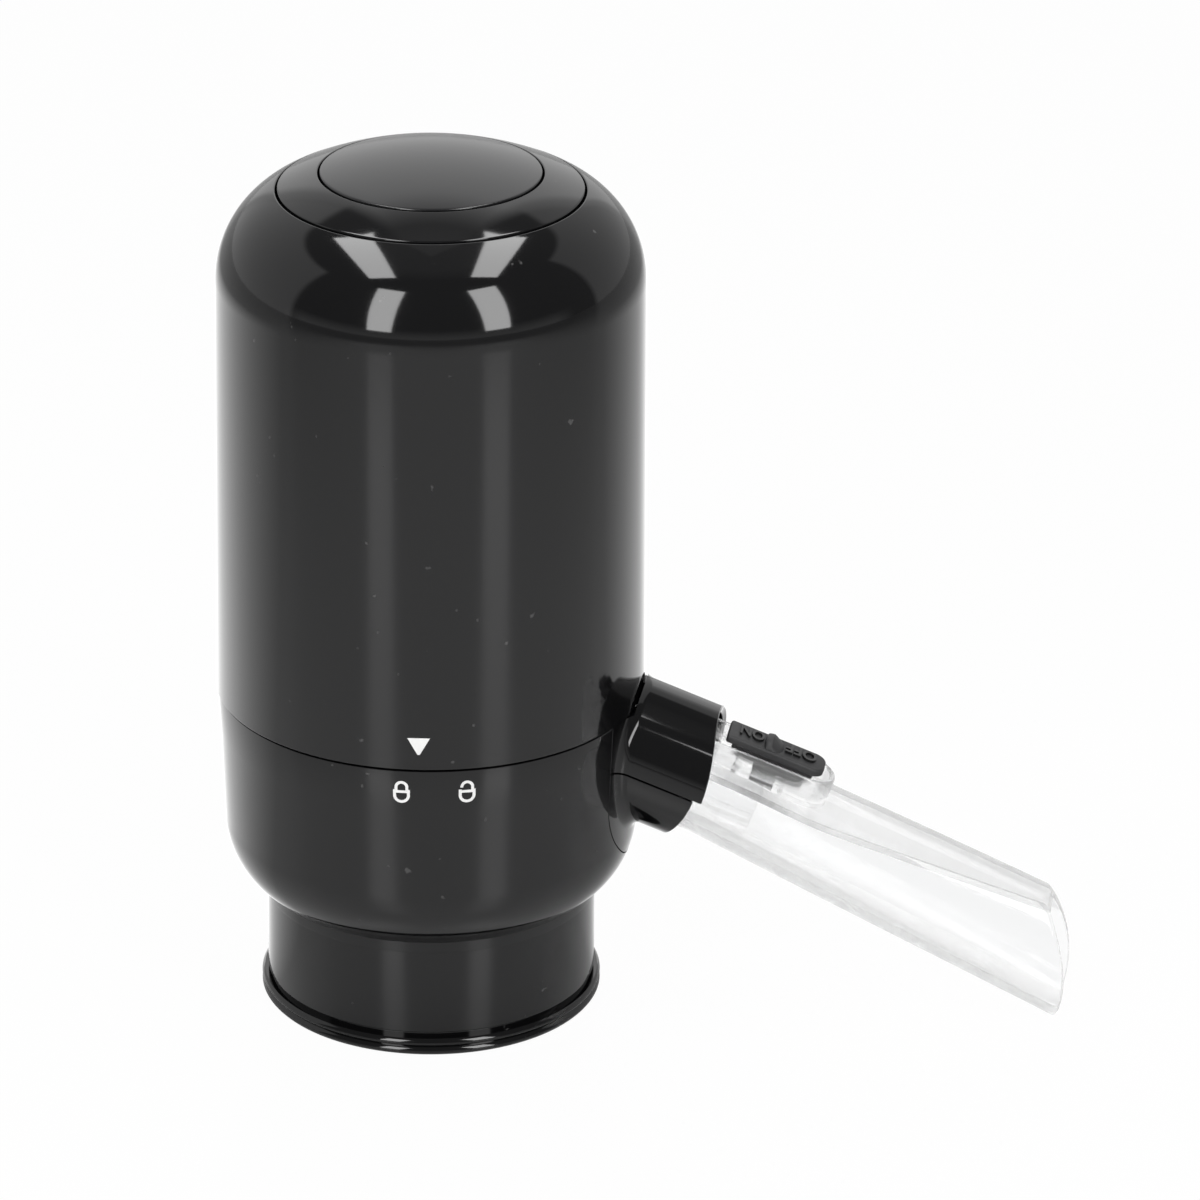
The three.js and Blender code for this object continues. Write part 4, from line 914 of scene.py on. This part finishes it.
def spout_section(along, inset):
    """The spout's section at a station: an oval cut flat on top, with soft top edges."""
    grown = max(along - TOP_BLEND_START, 0) / (TIP_TOP - TOP_BLEND_START)
    half_width = mix(SPOUT_RADIUS, TIP_HALF_WIDTH, grown ** WIDTH_POWER) - inset
    half_height = mix(SPOUT_RADIUS, TIP_HALF_HEIGHT, grown) - inset
    centre = -TIP_DROP * grown
    blend = (along - TOP_BLEND_START) / (TOP_BLEND_END - TOP_BLEND_START)
    top = mix(SPOUT_TOP_NEAR, SPOUT_TOP_FAR, eased(blend)) - inset
    flat = math.asin((top - centre) / half_height)
    sweep = math.pi + 2 * flat
    angles = [math.pi - flat + sweep * i / SECTION_STEPS for i in range(SECTION_STEPS + 1)]
    points = [(half_width * math.cos(a), centre + half_height * math.sin(a)) for a in angles]
    edge = max(SPOUT_EDGE - inset / 8, SPOUT_LEAST_EDGE)
    corners = [(*points[0], edge), *points[2:-2], (*points[-1], edge)]
    corners += [(mix(points[-1][0], points[0][0], share), top) for share in (0.25, 0.5, 0.75)]
    return rounded(corners)


def mouth_at(height):
    """How far out the spout's mouth lies at a height: further below the top edge."""
    total = TIP_HALF_HEIGHT + TIP_DROP + SPOUT_TOP_FAR
    share = (SPOUT_TOP_FAR - height) / total
    return TIP_TOP - LIP_TRIM + TIP_LEAD * share - TIP_CURL * share * share


def spout_ring(start, share, inset, past):
    section = spout_section(mix(start, TIP_TOP, share), inset)
    return [(mix(start, mouth_at(t) + past, share), y, t) for y, t in section]


def spout_outer():
    shares = [i / SPOUT_STATIONS for i in range(SPOUT_STATIONS + 1)]
    rings = [spout_ring(SPOUT_START, share, 0, -LIP_ROUND) for share in shares]
    rings += [spout_ring(SPOUT_START, 1, x, -y) for x, y in rounding(LIP_ROUND)[1:]]
    rings.append(spout_ring(SPOUT_START, 1, SPOUT_WALL / 2, 0))
    rings.append(spout_ring(SPOUT_START, 1, SPOUT_WALL + LIP_ROUND, 0))
    return loft(rings)


def spout_inner():
    shares = [i / SPOUT_STATIONS for i in range(SPOUT_STATIONS + 1)]
    start = SPOUT_START + SPOUT_WALL
    rings = [spout_ring(start, share, SPOUT_WALL, -LIP_ROUND) for share in shares]
    rings += [spout_ring(start, 1, SPOUT_WALL - x, -y) for x, y in rounding(LIP_ROUND)[1:]]
    rings.append(spout_ring(start, 1, SPOUT_WALL - LIP_ROUND, OVERRUN))
    return loft(rings)


def rim_tray():
    """The raised rim round the slider, with a floor."""
    low = SPOUT_TOP_FAR - SPOUT_WALL / 2
    levels = [(0, low)] + [(x, RIM_TOP - y) for x, y in rounding(RIM_EDGE)]
    levels += [(RIM_WALL - x, RIM_TOP - y) for x, y in reversed(rounding(RIM_EDGE))]
    levels.append((RIM_WALL, SPOUT_TOP_NEAR))
    return loft([stadium_ring(RIM_START, RIM_END, RIM_HALF_WIDTH, x, z, RIM_STEPS) for x, z in levels])


def along_axis(outline):
    """An outline of (radius, along) turned about the socket's axis."""
    verts, faces = lathe(outline, INSERT_SIDES)
    return [(z, y, -x) for x, y, z in verts], faces


def spout_tube():
    obj = mesh_object("clear_spout", spout_outer(), SOCKET)
    combine(obj, "UNION", rim_tray(), place=SOCKET)
    slot = stadium(SLOT_START, SLOT_END, SLOT_HALF, 0, RIM_TOP + OVERRUN)
    radius = INSERT_RADIUS + RUNNING_GAP
    low, high = SPOUT_START - OVERRUN, SPOUT_START + SPOUT_WALL + OVERRUN
    port = [(0, low), (radius, low), (radius, high), (0, high)]
    combine(obj, "DIFFERENCE", spout_inner(), slot, place=SOCKET)
    combine(obj, "DIFFERENCE", along_axis(port), place=INSERT_PLACE)
    return finish(obj, "clear_plastic", "base", "spout_tube", weighted=True)


def spout_insert():
    flange_high = SPOUT_START - RUNNING_GAP
    flange_low = flange_high - INSERT_FLANGE_HEIGHT
    outline = [(0, INSERT_INNER_END), (INSERT_RADIUS, INSERT_INNER_END, EDGE), (INSERT_RADIUS, flange_low)]
    outline += [(INSERT_FLANGE_RADIUS, flange_low, EDGE), (INSERT_FLANGE_RADIUS, flange_high, EDGE)]
    outline += [(INSERT_RADIUS, flange_high), (INSERT_RADIUS, INSERT_OUTER_END, EDGE)]
    outline += [(INSERT_BORE, INSERT_OUTER_END, EDGE), (INSERT_BORE, INSERT_INNER_END + WALL)]
    outline.append((0, INSERT_INNER_END + WALL))
    obj = mesh_object("spout_insert_skin", along_axis(rounded(outline)), INSERT_PLACE)
    foot = INSERT_PLACE @ Matrix.Translation((INSERT_INNER_END + INSERT_RADIUS, 0, 0))
    leg = [(0, -LEG_REACH), (LEG_RADIUS, -LEG_REACH), (LEG_RADIUS, -INSERT_BORE), (0, -INSERT_BORE)]
    bore = [(0, -LEG_REACH - OVERRUN), (LEG_BORE, -LEG_REACH - OVERRUN), (LEG_BORE, 0), (0, 0)]
    combine(obj, "UNION", lathe(leg, LEG_SIDES), place=foot)
    combine(obj, "DIFFERENCE", lathe(bore, LEG_SIDES), place=foot)
    return finish(obj, "clear_plastic", "base", "spout_insert")


# Slider

def ridge():
    """The thumb wedge across the slider: a steep side, a long slope, and lower at both ends."""
    base = SLIDER_TOP - WEDGE_HEIGHT / 2
    stations = (WEDGE_START, mix(WEDGE_START, WEDGE_END, WEDGE_PEAK_SHARE), WEDGE_END)
    heights = [base + WEDGE_HEIGHT * level for level in WEDGE_LEVELS]
    corners = zip(stations, heights, WEDGE_ROUNDS)
    profile = rounded([(WEDGE_START, base), *corners, (WEDGE_END, base)])
    middle = (WEDGE_START + WEDGE_END) / 2
    rings = []
    for k in range(WEDGE_STEPS + 1):
        share = math.cos(math.pi * k / WEDGE_STEPS)
        crown_share = math.sqrt(1 - share * share)
        narrow = mix(WEDGE_END_NARROW, 1, crown_share)
        lift = mix(WEDGE_END_LIFT, 1, crown_share)
        y = -WEDGE_HALF_WIDTH * share
        rings.append([(mix(middle, x, narrow), y, mix(base, z, lift)) for x, z in profile])
    return loft(rings)


def cap_ring(inset, height):
    """The slider's outline, square beside the collar and round at the other end."""
    half = SLIDER_HALF_WIDTH - inset
    start, end = SLIDER_START + inset, SLIDER_END - inset
    near = max(SLIDER_NEAR_CORNER - inset, SLIDER_LEAST_CORNERS[0])
    far = max(SLIDER_FAR_CORNER - inset, SLIDER_LEAST_CORNERS[1])
    corners = [(start, -half, near), (end, -half, far), (end, half, far), (start, half, near)]
    return [(x, y, height) for x, y in rounded(corners, 10)]


def slider_button():
    soft = SLIDER_EDGE / 2
    levels = [(SLIDER_UNDERCUT, SLIDER_LOW), (SLIDER_UNDERCUT, SLIDER_STEP), (soft, SLIDER_STEP)]
    levels += [(0, SLIDER_STEP + soft)] + [(x, SLIDER_TOP - y) for x, y in rounding(SLIDER_EDGE)]
    obj = mesh_object("slider_cap", loft([cap_ring(inset, height) for inset, height in levels]), SOCKET)
    combine(obj, "UNION", ridge(), place=SOCKET)
    return finish(obj, "soft_black", "slider", "slider_button")


def slider_carrier():
    high = SLIDER_LOW - RUNNING_GAP / 2
    low = high - CARRIER_THICKNESS
    end = SLIDER_END - CARRIER_INSET
    start = SLIDER_START + CARRIER_INSET
    plate = stadium(start, end, CARRIER_HALF_WIDTH, low, high, CARRIER_EDGE, CARRIER_EDGE)
    bar_end = end - CARRIER_BAR_HALF_WIDTH + CARRIER_BAR_OVERLAP
    bar_low = low - CARRIER_BAR_HEIGHT
    middle = low + CARRIER_THICKNESS / 2
    bar = stadium(CARRIER_BAR_START, bar_end, CARRIER_BAR_HALF_WIDTH, bar_low, middle, 0, CARRIER_BAR_EDGE)
    fin = block((FIN_START, -FIN_HALF_WIDTH, FIN_LOW), (FIN_END, FIN_HALF_WIDTH, middle))
    obj = mesh_object("slider_tongue", plate, SOCKET)
    combine(obj, "UNION", bar, fin, place=SOCKET)
    return finish(obj, "slider_grey", "slider", "slider_carrier")


def letters(name, text, start, end):
    """Raised lettering on the slider that reads from the far side, between two stations. Its black, darker
    than the slider's top, is painted shade round the raised letters.
    """
    curve = bpy.data.curves.new(name, "FONT")
    curve.body = text
    curve.extrude = LETTER_EXTRUDE
    curve.bevel_depth = LETTER_BEVEL
    curve.align_x = "CENTER"
    curve.align_y = "CENTER"
    source = in_scene(name + "_text", curve)
    graph = bpy.context.evaluated_depsgraph_get()
    mesh = bpy.data.meshes.new_from_object(source.evaluated_get(graph))
    bpy.data.objects.remove(source)
    bpy.data.curves.remove(curve)
    xs = [v.co.x for v in mesh.vertices]
    ys = [v.co.y for v in mesh.vertices]
    zs = [v.co.z for v in mesh.vertices]
    wide, tall, deep = max(xs) - min(xs), max(ys) - min(ys), max(zs) - min(zs)
    middle = (start + end) / 2
    low = SLIDER_TOP - LETTER_RISE
    for v in mesh.vertices:
        s = middle - (v.co.x - (max(xs) + min(xs)) / 2) / wide * (end - start)
        y = LETTER_MIDDLE - (v.co.y - (max(ys) + min(ys)) / 2) / tall * LETTER_HEIGHT
        t = low + (v.co.z - min(zs)) / deep * 2 * LETTER_RISE
        v.co = SOCKET @ Vector((s, y, t)) * MM
    mesh.name = name
    # The letters get the darker black that paints their shade.
    return finish(in_scene(name, mesh), "soft_black", "slider", material=letter_painted_shade)


# Printed marks

def wrapped(name, shapes, angle, middle, radius_at, body):
    """Flat shapes of (aside, up) points bent round the body as a thin print."""
    verts, faces = [], []
    for ring in shapes:
        start = len(verts)
        count = len(ring)
        for rise in (PRINT_RISE, -PRINT_RISE):
            for x, z in ring:
                radius = radius_at(middle + z) + rise
                turn = FRONT + math.radians(angle) + x / radius
                verts.append((radius * math.cos(turn), radius * math.sin(turn), middle + z))
        half = count // 2
        for i in range(half - 1):
            a, b = start + i, start + i + 1
            c, d = start + count - 2 - i, start + count - 1 - i
            faces.append((a, b, c, d))
            faces.append((a + count, d + count, c + count, b + count))
        for i in range(count):
            j = (i + 1) % count
            faces.append((start + i, start + j, start + count + j, start + count + i))
    return finish(mesh_object(name, (verts, faces)), "white_plastic", body, material=print_white)


def band(path, width):
    """A ring of points round a path: one side out and the other side back."""
    left, right = [], []
    for i, (x, z) in enumerate(path):
        before = Vector(path[max(i - 1, 0)])
        after = Vector(path[min(i + 1, len(path) - 1)])
        along = (after - before).normalized()
        left.append((x - along.y * width / 2, z + along.x * width / 2))
        right.append((x + along.y * width / 2, z - along.x * width / 2))
    return left + right[::-1]


def half_round(middle, radius, first, steps):
    """Half a circle of (aside, up) points from an angle on."""
    angles = [first + math.pi * k / steps for k in range(steps + 1)]
    return [(radius * math.cos(a), middle + radius * math.sin(a)) for a in angles]


def padlock(closed):
    """Outline padlock: a round-bottomed body, a bar across it and a shackle over the bar."""
    body = half_round(LOCK_ROUND_MIDDLE, LOCK_HALF_WIDTH, math.pi, LOCK_STEPS)
    body = [(-LOCK_HALF_WIDTH, LOCK_BODY_TOP)] + body + [(LOCK_HALF_WIDTH, LOCK_BODY_TOP)]
    inside = LOCK_HALF_WIDTH - MARK_STROKE / 2
    bar = [(-inside, LOCK_BAR_HEIGHT), (0, LOCK_BAR_HEIGHT), (inside, LOCK_BAR_HEIGHT)]
    foot = LOCK_BAR_HEIGHT + MARK_STROKE / 2
    arch = half_round(SHACKLE_MIDDLE, SHACKLE_HALF_WIDTH, 0, SHACKLE_STEPS)
    shackle = [(SHACKLE_HALF_WIDTH, foot)] + arch
    shackle.append((-SHACKLE_HALF_WIDTH, foot if closed else SHACKLE_MIDDLE - SHACKLE_STUB))
    return [band(body, MARK_STROKE), band(bar, MARK_STROKE), band(shackle, MARK_STROKE)]


def marks():
    shares = [k / TRIANGLE_STEPS for k in range(TRIANGLE_STEPS)]
    left = [(mix(-TRIANGLE_HALF_WIDTH, 0, share), TRIANGLE_HEIGHT * (1 - share)) for share in shares]
    right = [(-x, z) for x, z in left]
    triangle = left + right[::-1]
    wrapped("mark_triangle", [triangle], TRIANGLE_ANGLE, TRIANGLE_LOW, lambda z: SKIN_RADIUS, "head")
    wrapped("mark_locked", padlock(True), LOCK_ANGLE, LOCK_MIDDLE, skin_radius, "base")
    wrapped("mark_unlocked", padlock(False), UNLOCK_ANGLE, LOCK_MIDDLE, skin_radius, "base")


def dress_the_frame():
    """Each CAD node that stays gets the finish of its slot."""
    for row in frame["record"]["subparts"]:
        node = frame["nodes"][row["node"]]
        for holder in node.material_slots:
            holder.material = finishes[row["material_slot"]]


# Studio

def aim(obj, position, target):
    obj.location = position
    obj.rotation_euler = (Vector(target) - Vector(position)).to_track_quat("-Z", "Y").to_euler()


def camera_axes():
    """Horizontal directions seen by the camera: to its right, and away from it."""
    right = Vector((math.cos(CAMERA_AZIMUTH), math.sin(CAMERA_AZIMUTH), 0))
    away = Vector((-math.sin(CAMERA_AZIMUTH), math.cos(CAMERA_AZIMUTH), 0))
    return right, away


def bearing(angle):
    """The level direction at an angle from the camera's side, positive to the right."""
    right, away = camera_axes()
    return right * math.sin(math.radians(angle)) - away * math.cos(math.radians(angle))


def camera():
    right, away = camera_axes()
    back = -away * math.cos(CAMERA_ELEVATION) + Vector((0, 0, math.sin(CAMERA_ELEVATION)))
    target = (right * CAMERA_ASIDE + Vector((0, 0, CAMERA_TARGET_HEIGHT))) * MM
    data = bpy.data.cameras.new("camera")
    data.lens = CAMERA_LENS
    data.sensor_width = SENSOR
    data.clip_start = CAMERA_CLIP
    eye = in_scene("camera", data)
    eye.location = target + back * CAMERA_DISTANCE * MM
    up = back.cross(right)
    tilted_right = right * math.cos(CAMERA_ROLL) + up * math.sin(CAMERA_ROLL)
    tilted_up = up * math.cos(CAMERA_ROLL) - right * math.sin(CAMERA_ROLL)
    turn = Matrix((tilted_right, tilted_up, back)).transposed()
    eye.rotation_euler = turn.to_euler()
    bpy.context.scene.camera = eye


def softbox(name, centre, target, width, height, radiance):
    """A rectangular lamp of a given brightness."""
    lamp = bpy.data.lights.new(name, "AREA")
    lamp.shape = "RECTANGLE"
    lamp.size = width
    lamp.size_y = height
    lamp.energy = radiance * math.pi * width * height
    obj = in_scene(name, lamp)
    aim(obj, centre, target)
    return obj


def lamps():
    """Two upright panes on the camera's side and two long panes overhead."""
    right, away = camera_axes()
    up = Vector((0, 0, 1))
    focus = up * PANE_FOCUS
    middle = (PANE_LOW + PANE_HIGH) / 2
    for side, turn, width in PANES:
        centre = focus + (bearing(turn) * math.cos(middle) + up * math.sin(middle)) * PANE_DISTANCE
        wide = 2 * PANE_DISTANCE * math.tan(math.radians(width) / 2) * math.cos(middle)
        tall = 2 * PANE_DISTANCE * math.tan((PANE_HIGH - PANE_LOW) / 2)
        softbox("front_" + side, centre, focus, wide, tall, LAMP_RADIANCE)
    for side, near, far in STRIPS:
        start, end = (right * x + away * y + up * STRIP_HEIGHT for x, y in (near, far))
        centre = (start + end) / 2
        length = (end - start).length
        strip = softbox("over_" + side, centre, centre - up, STRIP_WIDTH, length, LAMP_RADIANCE)
        strip.rotation_euler = (0, 0, math.atan2(end.y - start.y, end.x - start.x) - math.pi / 2)


def around(tree, coords):
    """A function that gives how nearly a level direction follows a bearing, from -1 to 1."""
    level = vector_node(tree, "NORMALIZE", vector_node(tree, "MULTIPLY", coords, (1, 1, 0)))
    return lambda angle: vector_node(tree, "DOT_PRODUCT", level, bearing(angle))


def sight(tree):
    """The Light Path node, 1 where the camera or the clear plastic looks, and the rest."""
    path = tree.nodes.new("ShaderNodeLightPath")
    seen = math_node(tree, "MAXIMUM", path.outputs["Is Camera Ray"], path.outputs["Is Transmission Ray"])
    return path, seen, math_node(tree, "SUBTRACT", 1, seen)


def floor():
    """A pale, faintly glossy table. The camera and the clear plastic see it nearly white."""
    half = FLOOR_HALF_WIDTH
    corners = [(x, y, FLOOR_LOW) for x, y in ((-half, -half), (half, -half), (half, half), (-half, half))]
    mesh = bpy.data.meshes.new("floor")
    mesh.from_pydata(corners, [], [(0, 1, 2, 3)])
    obj = in_scene("floor", mesh)
    material, tree, shader, coords = new_material("floor_white")
    shader.inputs["Base Color"].default_value = FLOOR_COLOR
    shader.inputs["Roughness"].default_value = FLOOR_ROUGHNESS
    shader.inputs["IOR"].default_value = IOR
    path, seen, unseen = sight(tree)
    white = tree.nodes.new("ShaderNodeEmission")
    blend = tree.nodes.new("ShaderNodeMixShader")
    tree.links.new(product(tree, seen, FLOOR_WHITE_SHARE), blend.inputs[0])
    tree.links.new(shader.outputs[0], blend.inputs[1])
    tree.links.new(white.outputs[0], blend.inputs[2])
    toward = around(tree, coords)
    left = remap(tree, toward(-GLOW_BEARING), *GLOW_LEFT)
    right = remap(tree, toward(GLOW_BEARING), *GLOW_RIGHT)
    near = remap(tree, vector_node(tree, "LENGTH", coords), *GLOW_NEAR)
    behind = math_node(tree, "ADD", left, right)
    glow = tree.nodes.new("ShaderNodeEmission")
    mirrored = product(tree, behind, near, path.outputs["Is Glossy Ray"], unseen)
    tree.links.new(mirrored, glow.inputs["Strength"])
    both = tree.nodes.new("ShaderNodeAddShader")
    tree.links.new(blend.outputs[0], both.inputs[0])
    tree.links.new(glow.outputs[0], both.inputs[1])
    tree.links.new(both.outputs[0], tree.nodes["Material Output"].inputs["Surface"])
    mesh.materials.append(material)


def world():
    """A room with a bright back, pale walls at both sides and a dim camera side."""
    scene_world = bpy.data.worlds.new("room")
    bpy.context.scene.world = scene_world
    scene_world.use_nodes = True
    tree = scene_world.node_tree
    coords = tree.nodes.new("ShaderNodeTexCoord").outputs["Generated"]
    toward = around(tree, coords)
    rise = vector_node(tree, "DOT_PRODUCT", coords, (0, 0, 1))

    def wall(bearing_degrees, *fade):
        return remap(tree, toward(bearing_degrees), *fade)

    below_top = remap(tree, rise, *WALL_TOP)
    left = product(tree, wall(*LEFT_WALL), below_top)
    right = product(tree, wall(*RIGHT_WALL), below_top)
    back = product(tree, wall(*BACK_WALL), remap(tree, rise, *BACK_RISE), remap(tree, rise, *BACK_TOP))
    skyline = product(tree, wall(*CAMERA_SIDE), remap(tree, rise, *SKYLINE))
    overhead = remap(tree, rise, *CEILING)
    total = ROOM_BASE
    for part in (left, right, back, skyline, overhead):
        total = math_node(tree, "ADD", part, total)
    _, seen, unseen = sight(tree)
    strength = math_node(tree, "ADD", product(tree, total, unseen), seen)
    tree.links.new(strength, tree.nodes["Background"].inputs["Strength"])
    tree.nodes["Background"].inputs["Color"].default_value = (1, 1, 1, 1)


upper_housing()
top_ring()
button_cap()
lower_housing()
neck_sleeve()
lip_ring()
socket_half("socket_hood", "spout_hood", 1, HOOD_LENGTH)
socket_half("socket_cradle", "spout_cradle", -1, CRADLE_LENGTH)
spout_tube()
spout_insert()
slider_button()
slider_carrier()
letters("slider_on", "ON", *LETTERS_ON)
letters("slider_off", "OFF", *LETTERS_OFF)
marks()
dress_the_frame()
camera()
lamps()
floor()
world()

bpy.context.scene.view_settings.view_transform = "Standard"
bpy.context.view_layer.update()
